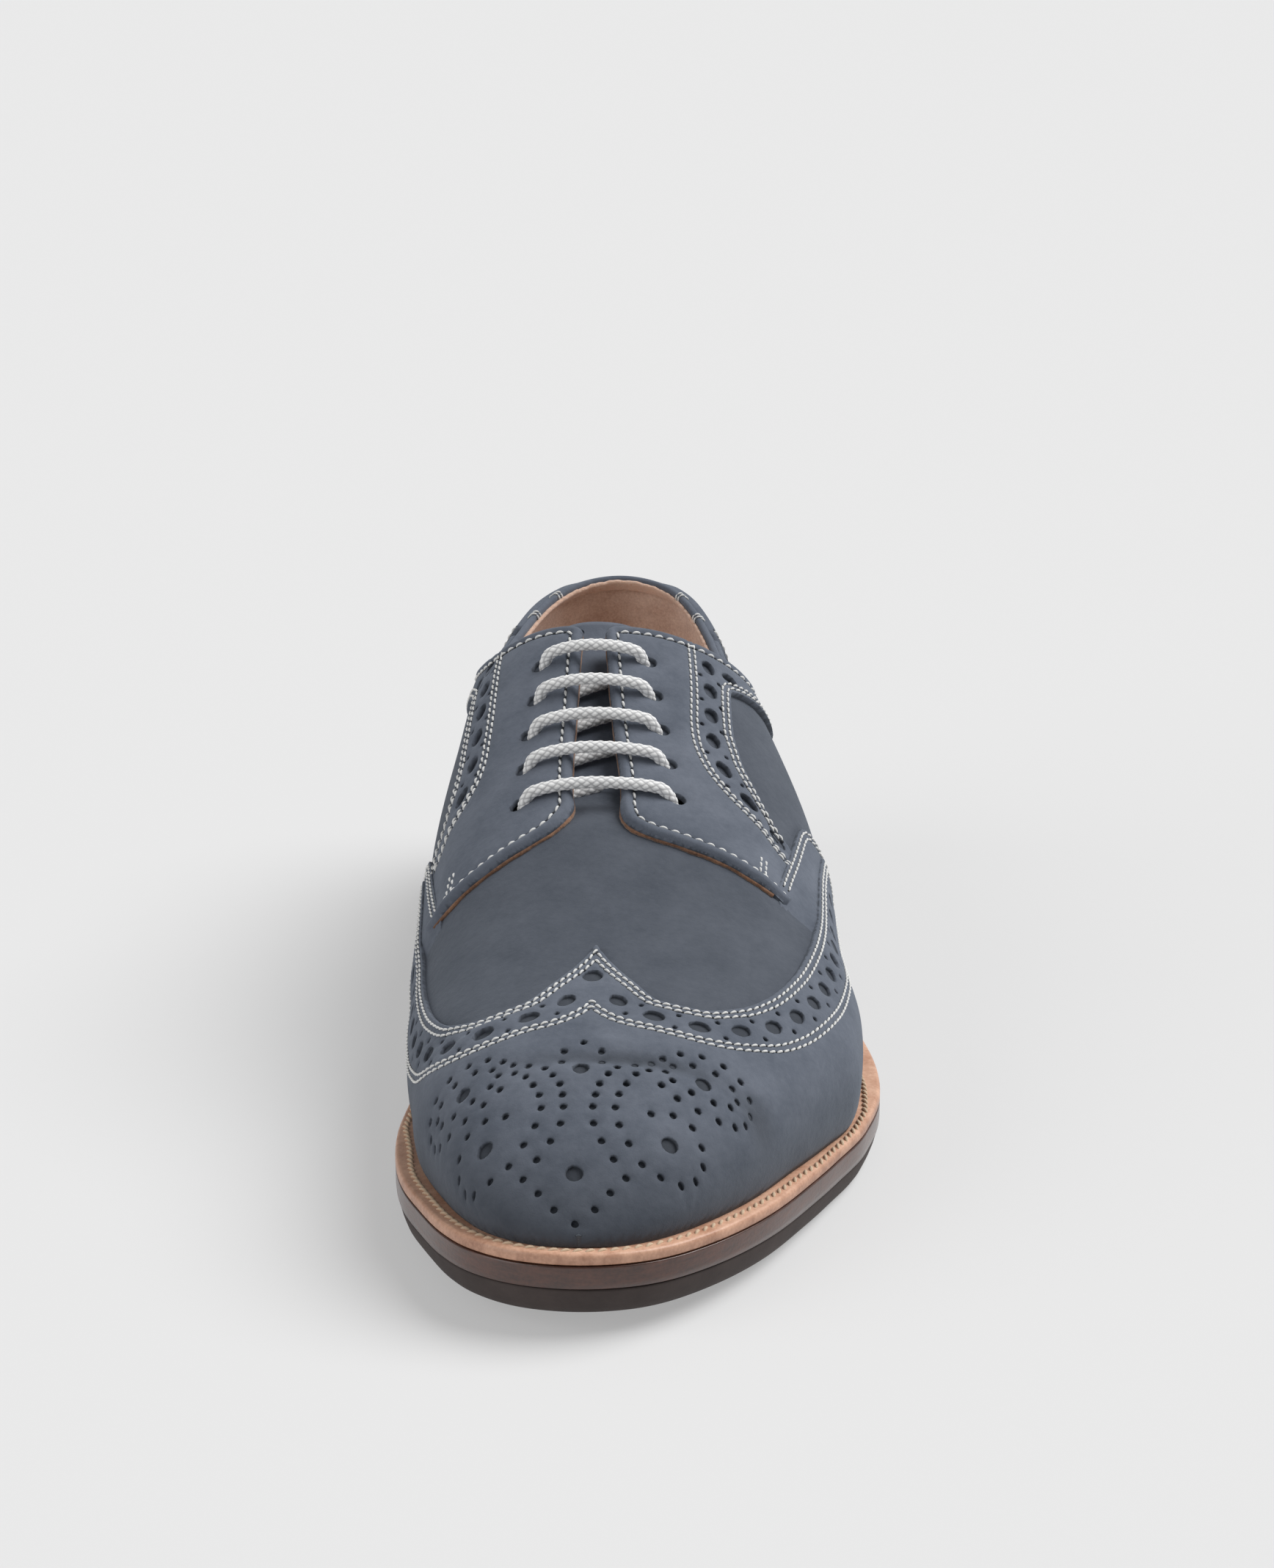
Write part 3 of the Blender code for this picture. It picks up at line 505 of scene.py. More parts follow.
# Leather seen from its cut edge or grain side; where tone is low it takes the stain's colour
def leatherEdgeFinish(name, look):
    finish = Finish(name, {"Specular IOR Level": 0.45, "Coat Weight": look["gloss"], "Coat Roughness": 0.22})
    finer = (1.0, 1.0, look["layers"])
    where = finish.node("ShaderNodeMapping", {}, {"Vector": finish.place(), "Scale": finer})
    streaks = finish.noise(look["streak"], 4.0, 0.6, where)
    grain = finish.noise(look["grain"], 3.0, 0.6)
    cloud = finish.between(streaks * 0.65 + grain * 0.35, 0.34, 0.66)
    colour = finish.blend(cloud, look["dark"], look["light"])
    colour = finish.blend(finish.mark("tone"), finish.blend(cloud, look["stain"], look["dark"]), colour)
    finish.feed("Base Color", colour)
    finish.feed("Roughness", look["roughness"] + 0.2 * streaks)
    finish.bumps((streaks, 0.12), (grain, 0.05))
    return finish.material


rubberLook = {
    "dark": rgb(0.040, 0.030, 0.028),
    "light": rgb(0.066, 0.050, 0.046),
    "grain": 0.5,
    "scuff": 12.0,
}


# Matt rubber with a fine grain and large faint scuffs
def rubberFinish(look):
    finish = Finish("darkRubber", {"Specular IOR Level": 0.35})
    grain = finish.noise(look["grain"], 3.0, 0.6)
    scuffs = finish.noise(look["scuff"], 4.0, 0.65)
    cloud = finish.between(scuffs * 0.7 + grain * 0.3, 0.34, 0.68)
    finish.feed("Base Color", finish.blend(cloud, look["dark"], look["light"]))
    finish.feed("Roughness", 0.6 + 0.25 * grain)
    finish.bumps((grain, 0.04))
    return finish.material


braidLook = {
    # painted shade where the strands dip between crossings
    "between": rgb(0.50, 0.50, 0.51),
    "strand": rgb(0.98, 0.98, 0.97),
    "fibre": rgb(0.5, 0.5, 0.5),
    "flat": 0.35,            # how flat a strand stays where the other set crosses it
}


# Round braid: two sets of strands cross around the cord, each over the other in turn, read from its UV map;
# grey where the strands dip, as painted shade
def laceFinish(look):
    finish = Finish("greyBraid", {"Specular IOR Level": 0.3, "Sheen Weight": 0.25, "Sheen Roughness": 0.4})
    where = finish.node("ShaderNodeUVMap", {"uv_map": "weave"})
    around = finish.node("ShaderNodeSeparateXYZ", {}, {"Vector": where}, 0)
    ahead = finish.node("ShaderNodeSeparateXYZ", {}, {"Vector": where}, 1)
    right, left = around + ahead, around - ahead
    over = finish.sum("FLOORED_MODULO", finish.sum("FLOOR", right) + finish.sum("FLOOR", left), 2.0)
    rounded = lambda strand: finish.sum("SINE", math.pi * finish.sum("FRACT", strand))
    first, second = rounded(right), rounded(left)
    strand = over * first * second ** look["flat"] + (1.0 - over) * second * first ** look["flat"]
    fibres = finish.noise(0.25, 3.0, 0.6)
    colour = finish.blend(finish.between(strand, 0.1, 0.8), look["between"], look["strand"])
    finish.feed("Base Color", finish.blend(0.18 * fibres, colour, look["fibre"]))
    finish.feed("Roughness", 0.6 + 0.25 * fibres)
    finish.bumps((fibres, 0.06))
    return finish.material


def threadFinish(name, colour, roughness):
    finish = Finish(name, {"Specular IOR Level": 0.35, "Sheen Weight": 0.15})
    fibres = finish.noise(0.3, 2.0, 0.6)
    shade = tuple(0.72 * c for c in colour[:3]) + (1.0,)
    finish.feed("Base Color", finish.blend(fibres, shade, colour))
    finish.feed("Roughness", roughness + 0.2 * fibres)
    finish.bumps((fibres, 0.06))
    return finish.material


nubuck = nubuckFinish(nubuckLook)
suede = liningFinish("brownSuede", liningLook)
rawSuede = liningFinish("rawSuede", rawLook)
weltLeather = leatherEdgeFinish("tanWelt", weltLook)
edgeLeather = leatherEdgeFinish("brownEdge", edgeLook)
rubber = rubberFinish(rubberLook)
braid = laceFinish(braidLook)
whiteThread = threadFinish("whiteThread", rgb(0.86, 0.86, 0.84), 0.55)
paleThread = threadFinish("paleThread", rgb(0.70, 0.52, 0.36), 0.6)
# near black for the needle holes: painted shade
holeShadeFinish = threadFinish("paintedNeedleHoleShade", rgb(0.016, 0.018, 0.021), 0.8)
print("finishes are ready")


def gridFaces(rows, columns, start=0, closed=False):
    width = columns if closed else columns - 1
    i, j = np.meshgrid(np.arange(rows - 1), np.arange(width), indexing="ij")
    k = (j + 1) % columns
    corners = np.stack([i * columns + j, i * columns + k, (i + 1) * columns + k, (i + 1) * columns + j], -1)
    return corners.reshape(-1, 4) + start


# Puts arrays into a mesh, welds seams and poles, and lets the piece ride on the shoe. Faces are turned
# so that most of them look along the outward directions, or by Blender where the form is closed.
def makePiece(name, points, faces, finish, replaced=(), tone=1.0, outward=None, weave=None):
    mesh = bpy.data.meshes.new(name)
    counts = np.concatenate([np.full(len(f), f.shape[1]) for f in faces])
    corners = np.concatenate([f.ravel() for f in faces])
    mesh.vertices.add(len(points))
    mesh.vertices.foreach_set("co", (points * mm).ravel())
    mesh.loops.add(len(corners))
    mesh.loops.foreach_set("vertex_index", corners)
    mesh.polygons.add(len(counts))
    mesh.polygons.foreach_set("loop_start", np.concatenate([[0], np.cumsum(counts)[:-1]]))
    mesh.update(calc_edges=True)
    mark = mesh.attributes.new("tone", "FLOAT", "POINT")
    mark.data.foreach_set("value", np.broadcast_to(tone, len(points)).astype(np.float32))
    if weave is not None:
        mesh.uv_layers.new(name="weave").data.foreach_set("uv", weave.astype(np.float32).ravel())
    builder = bmesh.new()
    builder.from_mesh(mesh)
    bmesh.ops.remove_doubles(builder, verts=builder.verts, dist=0.004 * mm)
    bmesh.ops.dissolve_degenerate(builder, edges=builder.edges, dist=0.002 * mm)
    if outward is None:
        bmesh.ops.recalc_face_normals(builder, faces=builder.faces)
    builder.to_mesh(mesh)
    builder.free()
    if outward is not None:
        a, b, c = faces[0][:, :3].T
        across = np.cross(points[b] - points[a], points[c] - points[b])
        if np.sum(across * outward[a]) < 0:
            mesh.flip_normals()
    mesh.shade_smooth()
    mesh.materials.append(finish)
    piece = bpy.data.objects.new(name, mesh)
    bpy.context.scene.collection.objects.link(piece)
    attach(piece, "root")
    if replaced:
        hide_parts(*replaced)


# A piece made of closed rings, one for each row of the grid
def ringPiece(name, grid, finish, replaced=(), tone=1.0):
    faces = gridFaces(*grid.shape[:2], closed=True)
    makePiece(name, grid.reshape(-1, 3), [faces], finish, replaced, tone)


# A piece made of many copies of a small form: the points of each copy, and the form's own faces
def copiesPiece(name, points, forms, finish):
    starts = (np.arange(points.shape[0]) * points.shape[1])[:, None, None]
    faces = [(form[None] + starts).reshape(-1, form.shape[1]) for form in forms]
    makePiece(name, points.reshape(-1, 3), faces, finish)


def lengths(line):
    return np.concatenate([[0.0], np.cumsum(np.linalg.norm(np.diff(line, axis=0), axis=1))])


# Values read off at places along a line, from the length up to each of its points
def readAt(values, length, at):
    return np.stack([np.interp(at, length, values[:, k]) for k in range(values.shape[1])], -1)


# Evenly spaced points along a line, about a step apart
def resample(line, step):
    length = lengths(line)
    return readAt(line, length, np.linspace(0.0, length[-1], max(2, int(round(length[-1] / step)) + 1)))


# Running mean of a line over some points to each side, with its ends kept
def evened(line, reach):
    padded = np.concatenate([2 * line[0] - line[reach:0:-1], line, 2 * line[-1] - line[-2:-reach - 2:-1]])
    kernel = np.full(2 * reach + 1, 1 / (2 * reach + 1))
    return np.stack([np.convolve(padded[:, k], kernel, "valid") for k in range(line.shape[1])], -1)


# Rounds a line's corners over a reach
def softened(line, reach, step=0.5):
    return evened(resample(line, step), max(1, int(reach / step) // 2))


# A line beside another, on its left when the distance is positive
def beside(line, distance):
    step = np.gradient(line, axis=0)
    normal = unit(np.stack([-step[:, 1], step[:, 0]], -1))
    return line + normal * distance


def nearest(points, others):
    blocks = np.array_split(points, len(points) // 1500 + 1)
    return np.concatenate([np.sqrt(((b[:, None] - others) ** 2).sum(-1).min(1)) for b in blocks])


def insideLoop(points, loop):
    inside = []
    after = np.roll(loop, -1, 0)
    rise = np.where(after[:, 1] == loop[:, 1], 1e-9, after[:, 1] - loop[:, 1])
    for block in np.array_split(points, len(points) // 4000 + 1):
        x, y = block[:, :1], block[:, 1:]
        spans = (loop[:, 1] > y) != (after[:, 1] > y)
        crossing = loop[:, 0] + (y - loop[:, 1]) * (after[:, 0] - loop[:, 0]) / rise
        inside.append((spans & (x < crossing)).sum(1) % 2 == 1)
    return np.concatenate(inside)


# How much shorter a step on the last is than on the flat sheet, along the arc
def sheetStretch(flat):
    reach = 0.3
    behind, ahead = (offSheet(flat + (sign * reach, 0.0)) for sign in (-1, 1))
    apart = onLast(*ahead.T) - onLast(*behind.T)
    return np.maximum(np.linalg.norm(apart, axis=1) / (2 * reach), 0.2)


# Rings round punched holes on the flat sheet; a hole is round on the last when its radii are equal
def holeRings(holes, wider, count):
    turn = np.linspace(0.0, 2 * math.pi, count, endpoint=False)
    x = (holes["along"] + wider)[:, None] * np.cos(turn)
    y = (holes["across"] + wider)[:, None] * np.sin(turn)
    c, s = np.cos(holes["turn"])[:, None], np.sin(holes["turn"])[:, None]
    place = holes["place"][:, None]
    return place + np.stack([(x * c - y * s) / holes["stretch"][:, None], x * s + y * c], -1)


def punch(place, along, across, turn=0.0):
    count = len(place)
    return {"place": place, "along": np.broadcast_to(along, count), "across": np.broadcast_to(across, count),
            "turn": np.broadcast_to(turn, count), "stretch": sheetStretch(place)}


# Distance outside the nearest hole's edge, in millimetres on the last
def holeDistance(flat, holeSets):
    result = np.full(len(flat), 99.0)
    for holes in holeSets:
        for k in range(len(holes["place"])):
            off = flat - holes["place"][k]
            x, y = off[:, 0] * holes["stretch"][k], off[:, 1]
            c, s = math.cos(holes["turn"][k]), math.sin(holes["turn"][k])
            a, b = holes["along"][k], holes["across"][k]
            away = np.hypot((x * c + y * s) / a, (y * c - x * s) / b)
            result = np.minimum(result, (away - 1) * min(a, b))
    return result


# What all leather panels share
panel = {
    "below": -0.2,           # where a cut edge ends, under the last's face
    "edgeTone": 0.4,
    "holeFloorShade": 0.3,       # painted shade on what shows only through punched holes
    "rings": (0.0, 0.3, 0.75),   # rings of points round a punched hole, from its edge
    "outline": 0.8,          # steps between points of the outline and of a guide line
    "guide": 1.0,
    "cut": (0.6, 0.25),      # reach and depth of a cut edge's rounding
}


# A leather panel cut on the flat sheet: its outline, guide lines that the relief follows, punched holes
# with rings round them, and an even net of triangles in between
def cutPanel(loop, guides, holeSets, spacing):
    lines = [loop]
    hole = [np.full(len(loop), -1)]
    edges = [np.stack([np.arange(len(loop)), np.roll(np.arange(len(loop)), -1)], -1)]
    total, number = len(loop), 0
    for holes in holeSets:
        count = int(max(12, round(7.0 * holes["along"].max())))
        for step in panel["rings"]:
            rings = holeRings(holes, step, count)
            lines.append(rings.reshape(-1, 2))
            ids = np.repeat(np.arange(number, number + len(rings)), count)
            hole.append(ids if step == 0.0 else np.full(len(ids), -1))
            if step == 0.0:
                ring = np.arange(count)
                pairs = np.stack([ring, (ring + 1) % count], -1)
                starts = total + np.arange(len(rings)) * count
                edges.append((pairs[None] + starts[:, None, None]).reshape(-1, 2))
            total += len(rings) * count
        number += len(holes["place"])
    for guide in guides:
        guide = resample(guide, panel["guide"])
        guide = guide[insideLoop(guide, loop) & (holeDistance(guide, holeSets) > 1.0)]
        guide = guide[nearest(guide, loop) > 0.12]
        lines.append(guide)
        hole.append(np.full(len(guide), -1))
    fixed = np.concatenate(lines)
    low, high = loop.min(0), loop.max(0)
    across = np.arange(low[0], high[0], spacing * math.sqrt(3) / 2)
    up = np.arange(low[1], high[1], spacing)
    net = np.stack(np.meshgrid(across, up, indexing="ij"), -1)
    net[1::2, :, 1] += spacing / 2
    net = net.reshape(-1, 2)
    net = net[insideLoop(net, loop)]
    net = net[holeDistance(net, holeSets) > panel["rings"][-1] + 0.45 * spacing]
    net = net[nearest(net, fixed) > 0.62 * spacing]
    points = np.concatenate([fixed, net])
    hole = np.concatenate(hole + [np.full(len(net), -1)])
    cut = delaunay_2d_cdt([Vector(p) for p in points.tolist()], np.concatenate(edges).tolist(), [], 0, 1e-6)
    flat = np.array([tuple(v) for v in cut[0]])
    kept = np.array([hole[was[0]] if was else -1 for was in cut[3]])
    triangles = np.array(cut[2])
    ids = kept[triangles]
    inHole = (ids[:, 0] >= 0) & (ids[:, 0] == ids[:, 1]) & (ids[:, 1] == ids[:, 2])
    middle = flat[triangles].mean(1)
    return flat, triangles[~inHole & insideLoop(middle, loop)]


# The finished panel: its face lifted off the last, and walls from every cut edge down to the leather below
def panelPiece(name, flat, triangles, lift, replaced=(), tone=1.0):
    used, triangles = np.unique(triangles, return_inverse=True)
    triangles = triangles.reshape(-1, 3)
    tone = np.broadcast_to(tone, len(flat))[used]
    pattern, lift = offSheet(flat[used]), lift[used]
    face = onLast(*pattern.T, lift)
    borders = np.concatenate([triangles[:, [0, 1]], triangles[:, [1, 2]], triangles[:, [2, 0]]])
    _, inverse, counts = np.unique(np.sort(borders, 1), axis=0, return_inverse=True, return_counts=True)
    rimPoints, rim = np.unique(borders[counts[inverse.ravel()] == 1], return_inverse=True)
    rim = rim.reshape(-1, 2)
    foot = onLast(*pattern[rimPoints].T, panel["below"])
    top, bottom = len(face), len(face) + len(rimPoints)
    walls = np.stack([rim[:, 1] + top, rim[:, 0] + top, rim[:, 0] + bottom, rim[:, 1] + bottom], -1)
    points = np.concatenate([face, face[rimPoints], foot])
    tones = np.concatenate([tone, np.full(len(rimPoints) * 2, panel["edgeTone"])])
    outward = np.concatenate([face - onLast(*pattern.T, lift - 1.0), np.zeros((len(rimPoints) * 2, 3))])
    makePiece(name, points, [triangles, walls], nubuck, replaced, tones, outward)


stitch = {
    "length": 1.85,
    "radius": 0.28,
    "sides": 6,
    "arch": 0.28,            # rise of a stitch's middle over its ends
    "sink": 0.10,            # of its ends into the leather
    "pitch": 2.3,
    "seat": 0.12,            # how deep a row lies in the leather
    "slant": 9.0,
    "along": (-1.0, -0.86, -0.45, 0.0, 0.45, 0.86, 1.0),
    "thick": (0.12, 0.68, 0.98, 1.05, 0.98, 0.68, 0.12),
    "needle": 0.40,          # radius of a needle hole
}

# Stitches gathered row by row and joined at the end into one piece for each thread
threadRows = {"white": [], "pale": []}
needleRows = []


def sewAlong(path, up, pitch, size, thread="white", slant=stitch["slant"], holes=True):
    length = lengths(path)
    count = max(1, int(round(length[-1] / pitch)))
    at = (np.arange(count) + 0.5) * length[-1] / count
    reach = 0.6              # to both sides, for the row's direction
    centre, normal = readAt(path, length, at), unit(readAt(up, length, at))
    ahead = unit(readAt(path, length, at + reach) - readAt(path, length, at - reach))
    across = unit(np.cross(normal, ahead))
    turned = math.radians(slant)
    lean = math.cos(turned) * ahead + math.sin(turned) * across
    threadRows[thread].append((centre, lean, unit(np.cross(normal, lean)), normal, np.full(count, size)))
    if holes:
        gaps = np.arange(count + 1) * length[-1] / count
        needleRows.append((readAt(path, length, gaps), unit(readAt(up, length, gaps))))


# A row on the last, given on the flat sheet; lift is a function of station and girth
def sew(line, lift, pitch=stitch["pitch"], size=1.0, seat=stitch["seat"]):
    pattern = offSheet(resample(line, 0.4)).T
    height = lift(*pattern) - seat
    path = onLast(*pattern, height)
    sewAlong(path, onLast(*pattern, height + 1.0) - path, pitch, size)


# A stitch: a cord with few sides on a low arc that sinks into the leather at both ends
def stitchPiece(thread, finish):
    centre, ahead, across, up, size = (np.concatenate(a) for a in zip(*threadRows[thread]))
    t, thick, count = np.array(stitch["along"]), np.array(stitch["thick"]), stitch["sides"]
    height = stitch["arch"] * (1 - t ** 2) - stitch["sink"]
    turn = np.linspace(0, 2 * math.pi, count, endpoint=False)
    x = t[:, None] * stitch["length"] / 2 + 0 * turn
    y = stitch["radius"] * thick[:, None] * np.cos(turn)
    z = height[:, None] + stitch["radius"] * thick[:, None] * np.sin(turn)
    one = np.stack([x, y, z], -1).reshape(-1, 3)
    frames = np.stack([ahead, across, up], 1) * size[:, None, None]
    points = centre[:, None] + np.einsum("pk,nkx->npx", one, frames)
    ring = np.arange(count)
    forms = [gridFaces(len(t), count, closed=True), np.array([ring[::-1], len(one) - count + ring])]
    copiesPiece(thread + "Stitches", points, forms, finish)


# Needle holes: small domes between the stitches, near black with painted shade
def needlePiece():
    centre, up = (np.concatenate(a) for a in zip(*needleRows))
    side = unit(np.cross(up, np.array([0.0, 1.0, 0.0]) + 0 * up))
    ahead = np.cross(side, up)
    count = 8
    turn = np.linspace(0, 2 * math.pi, count, endpoint=False)
    ring = stitch["needle"] * (np.cos(turn)[:, None] * side[:, None] + np.sin(turn)[:, None] * ahead[:, None])
    rim = centre[:, None] + ring - 0.10 * up[:, None]
    crown = centre[:, None] + 0.55 * ring + 0.05 * up[:, None]
    forms = [gridFaces(2, count, closed=True), np.arange(count, 2 * count)[None]]
    copiesPiece("needleHoles", np.concatenate([rim, crown], 1), forms, holeShadeFinish)


# Wing cap: rear edge with two lobes and a point, double rows of stitches, punched band and medallion
wing = {
    "edge": table(
        "girth medial lateral",
        (0, 229.5, 229.5), (3, 236.0, 235.5), (8.5, 244.0, 243.5), (15, 251.0, 250.5), (23, 252.5, 251.5),
        (31.5, 248.0, 247.5), (38, 238.0, 240.5), (45, 218.0, 226.5), (51, 192.0, 209.0), (57, 164.0, 188.0),
        (62, 156.0, 168.0), (68, 153.0, 156.0), (110, 153.0, 153.0)),
    "lift": 1.1,
    "overTab": 1.7,          # where the wings lie over the vamp's tabs
    "rows": (1.2, 2.7),      # stitch rows, from the cut edge
    "lowRows": (11.4, 12.9),
    "holeLine": 6.9,
    "pitch": 10.0,
    "hole": (2.45, 1.75),
    "pin": 0.62,
    "pinApart": 2.6,
    "firstHole": 10.0,       # from the point, along the band
    "tipHoles": ((241.8, 2.3), (231.8, 0.8)),   # station and radius of the two in the point
    "tipAxis": -0.3,
    "guides": (0.2, 0.5, 1.2, 1.95, 2.7, 3.5, 10.6, 11.4, 12.15, 12.9, 13.8),   # lines of the relief
    "stitch": 2.2,
    "reach": 0.985,          # share of the girth, down towards the sole
    "dip": 2.0,
    "lowBurnishAndShade": 0.42,         # darker above the welt: partly burnish, partly painted shade
    "lowReach": 24.0,
    "dentNapAndShade": 0.8,       # how much darker a dent is, for each millimetre: partly the creased nap's own tone, partly painted shade
    "net": 1.35,
}


def wingLift(station, girth):
    return wing["lift"] + (wing["overTab"] - wing["lift"]) * (1 - ramp(station, 190.0, 206.0))


# Where a panel or the skin lies under the wing cap
def underWing(station, girth, side):
    return station > column(wing["edge"], sideName(side), np.abs(girth)) + 1.5


# A line beside the wing's edge, from the medial waist over the point to the lateral waist; lines far from
# the edge bend down a little more at the point
def wingLine(distance):
    halves = []
    for name, side in sides.items():
        girth = np.linspace(0.0, 68.0, 200)
        station = column(wing["edge"], name, girth)
        low = np.linspace(69.0, wing["reach"] * float(fullGirth(station[-1], side)), 12)
        girth = np.concatenate([girth, low])
        station = np.concatenate([station, np.full(len(low), station[-1])])
        base = resample(onSheet(np.stack([station, side * girth], -1)), 0.4)
        line = beside(base, -side * distance)
        line = line[nearest(line, base) > distance - 0.15]
        first, tip = 1, line[0, 0]
        if distance:
            first = np.argmax(side * line[:, 1] > 0.02)
            pair = line[first - 1:first + 1]
            tip = np.interp(0.0, side * pair[:, 1], pair[:, 0])
        half = np.concatenate([[[tip, 0.0]], line[first:]])
        half[:, 0] += wing["dip"] * ramp(distance, 3.0, 11.0) * (1 - ramp(np.abs(half[:, 1]), 0.0, 14.0))
        halves.append(half)
    return np.concatenate([halves[0][:0:-1], halves[1]])


def trimmed(line, start, end):
    length = lengths(line)
    return line[(length >= start) & (length <= length[-1] - end)]


# Large ovals along the middle of the band from its point outwards, with a pair of pinholes between
def bandHoles(line, hole, pitch, firstAt):
    length = lengths(line)
    at = np.arange(firstAt, length[-1] - 6.0, pitch)
    step = np.gradient(line, axis=0)
    heading = readAt(step, length, at)
    ovals = punch(readAt(line, length, at), *hole, np.arctan2(heading[:, 1], heading[:, 0]))
    between = at[:-1] + pitch / 2
    heading = unit(readAt(step, length, between))
    across = np.stack([-heading[:, 1], heading[:, 0]], -1) * wing["pinApart"]
    middle = readAt(line, length, between)
    pins = punch(np.concatenate([middle + across, middle - across]), wing["pin"], wing["pin"])
    return ovals, pins


medallion = {
    "axis": -0.65,           # girth of its middle line
    "pin": 0.80,
    "large": 1.80,
    "leg": ((4.1, 302.3), (13.6, 294.1)),
    "stemOuter": ((10.7, 291.0), (8.6, 287.7), (7.6, 284.2), (8.2, 281.3), (9.6, 278.8), (11.4, 276.3),
                  (14.0, 274.5)),
    "stemInner": ((7.8, 294.0), (5.2, 291.0), (3.4, 287.7), (3.0, 284.3), (3.4, 281.7), (4.1, 279.2),
                  (5.7, 276.9), (7.5, 274.7), (11.1, 273.2), (14.5, 271.9)),
    "petal": ((15.0, 284.5), (19.6, 283.7), (23.9, 284.6), (26.3, 287.2), (27.1, 290.0), (25.7, 292.8),
              (22.2, 295.0), (17.6, 295.3)),
    "crown": ((4.2, 272.9), (3.9, 269.8)),
    "ringInner": (25.7, 273.8, 8.2, 3.9, 10),
    "ringOuter": (26.4, 274.0, 11.6, 6.9, 13),
    "ringOpen": 2.55,        # half the angle that the outer ring covers
    "middle": ((0.0, 304.3), (0.0, 267.6)),
    "largeMiddle": ((0.0, 296.7), (0.0, 275.3)),
    "largeSide": ((19.2, 289.5), (25.7, 274.2)),
}


def medallionHoles():
    legs = np.linspace(*np.array(medallion["leg"]), 4)
    side = [legs] + [np.array(medallion[k]) for k in ("stemOuter", "stemInner", "petal", "crown")]
    closed = np.linspace(0, 2 * math.pi, medallion["ringInner"][-1], endpoint=False)
    parted = np.linspace(-medallion["ringOpen"], medallion["ringOpen"], medallion["ringOuter"][-1])
    for name, turn in (("ringInner", closed), ("ringOuter", parted)):
        g, s, wide, high, _ = medallion[name]
        side.append(np.stack([g + wide * np.cos(turn), s + high * np.sin(turn)], -1))
    side = np.concatenate(side)
    both = lambda right: np.concatenate([right, right * (-1.0, 1.0)])
    pins = np.concatenate([both(side), np.array(medallion["middle"])]) + (medallion["axis"], 0.0)
    large = np.concatenate([both(np.array(medallion["largeSide"])), np.array(medallion["largeMiddle"])])
    large = large + (medallion["axis"], 0.0)
    return (punch(onSheet(pins[:, ::-1]), medallion["pin"], medallion["pin"]),
            punch(onSheet(large[:, ::-1]), medallion["large"], medallion["large"]))


# Relief round a cut edge: rounded over within a reach
def cutEdge(distance, reach, depth):
    return -depth * np.clip(1 - distance / reach, 0.0, 1.0) ** 2


def groove(distance, at, depth=0.22, width=0.5):
    return -depth * np.exp(-((distance - at) / width) ** 2)


# Pressed rim of punched holes
def pressed(distance, depth=0.30, reach=0.7):
    return -depth * np.exp(-(np.maximum(distance, 0.0) / reach) ** 2)


# Dents and ridges on the toe cap, listed one by one: station, girth, half length, half width and height of
# each
creases = ((267.4, 9.0, 19.0, 2.4, 0.6), (271.8, 8.0, 19.0, 2.3, -0.75), (276.4, 8.0, 17.0, 2.6, 0.6),
           (257.0, -22.0, 9.0, 2.6, 0.4), (273.5, 40.0, 6.0, 4.0, -0.6))


def toeCreases(station, girth):
    return sum(height * np.exp(-((station - s) / wide) ** 2 - ((girth - g) / half) ** 2)
               for s, g, half, wide, height in creases)


def wingCapPiece():
    edge = wingLine(0.0)
    ends = []
    for side in sides.values():
        arc = np.linspace(edge[0 if side < 0 else -1][0], gridArc[-1], 260)[1:]
        station = toStation(arc)
        ends.append(np.stack([arc, side * wing["reach"] * fullGirth(station, side)], -1))
    loop = np.concatenate([resample(edge, panel["outline"]), ends[1], ends[0][::-1]])
    band = wingLine(wing["holeLine"])
    middle = np.argmin(np.abs(band[:, 1]))
    ovals, pins = zip(*(bandHoles(half, wing["hole"], wing["pitch"], wing["firstHole"])
                        for half in (band[middle:], band[middle::-1])))
    single = [punch(np.array([[toArc(s), wing["tipAxis"]]]), radius, radius)
              for s, radius in wing["tipHoles"]]
    holeSets = [*ovals, *pins, *single, *medallionHoles()]
    flat, triangles = cutPanel(loop, [wingLine(d) for d in wing["guides"]], holeSets, wing["net"])
    pattern = offSheet(flat)
    fromEdge = nearest(flat, edge)
    fromLow = nearest(flat, wingLine(sum(wing["lowRows"]) / 2))
    lift = wingLift(*pattern.T) + cutEdge(fromEdge, *panel["cut"])
    lift += groove(fromEdge, wing["rows"][0]) + groove(fromEdge, wing["rows"][1]) + groove(fromLow, 0.75)
    relief = toeCreases(*pattern.T)
    lift += pressed(holeDistance(flat, holeSets)) + relief
    # Painted shade: darker low down above the welt, partly burnish too, and in the dents, partly the creased
    # nap's own tone
    above = onLast(*pattern.T)[:, 2] - feather(pattern[:, 0])
    tone = wing["lowBurnishAndShade"] + (1 - wing["lowBurnishAndShade"]) * ramp(above, 0.0, wing["lowReach"])
    tone = tone * (1 + wing["dentNapAndShade"] * np.minimum(relief, 0.0))
    panelPiece("wingCap", flat, triangles, lift, ["wing_cap"], tone)
    for distance in wing["rows"] + wing["lowRows"]:
        sew(wingLine(distance), wingLift, wing["stitch"])


wingCapPiece()
print("wing cap is cut and sewn")


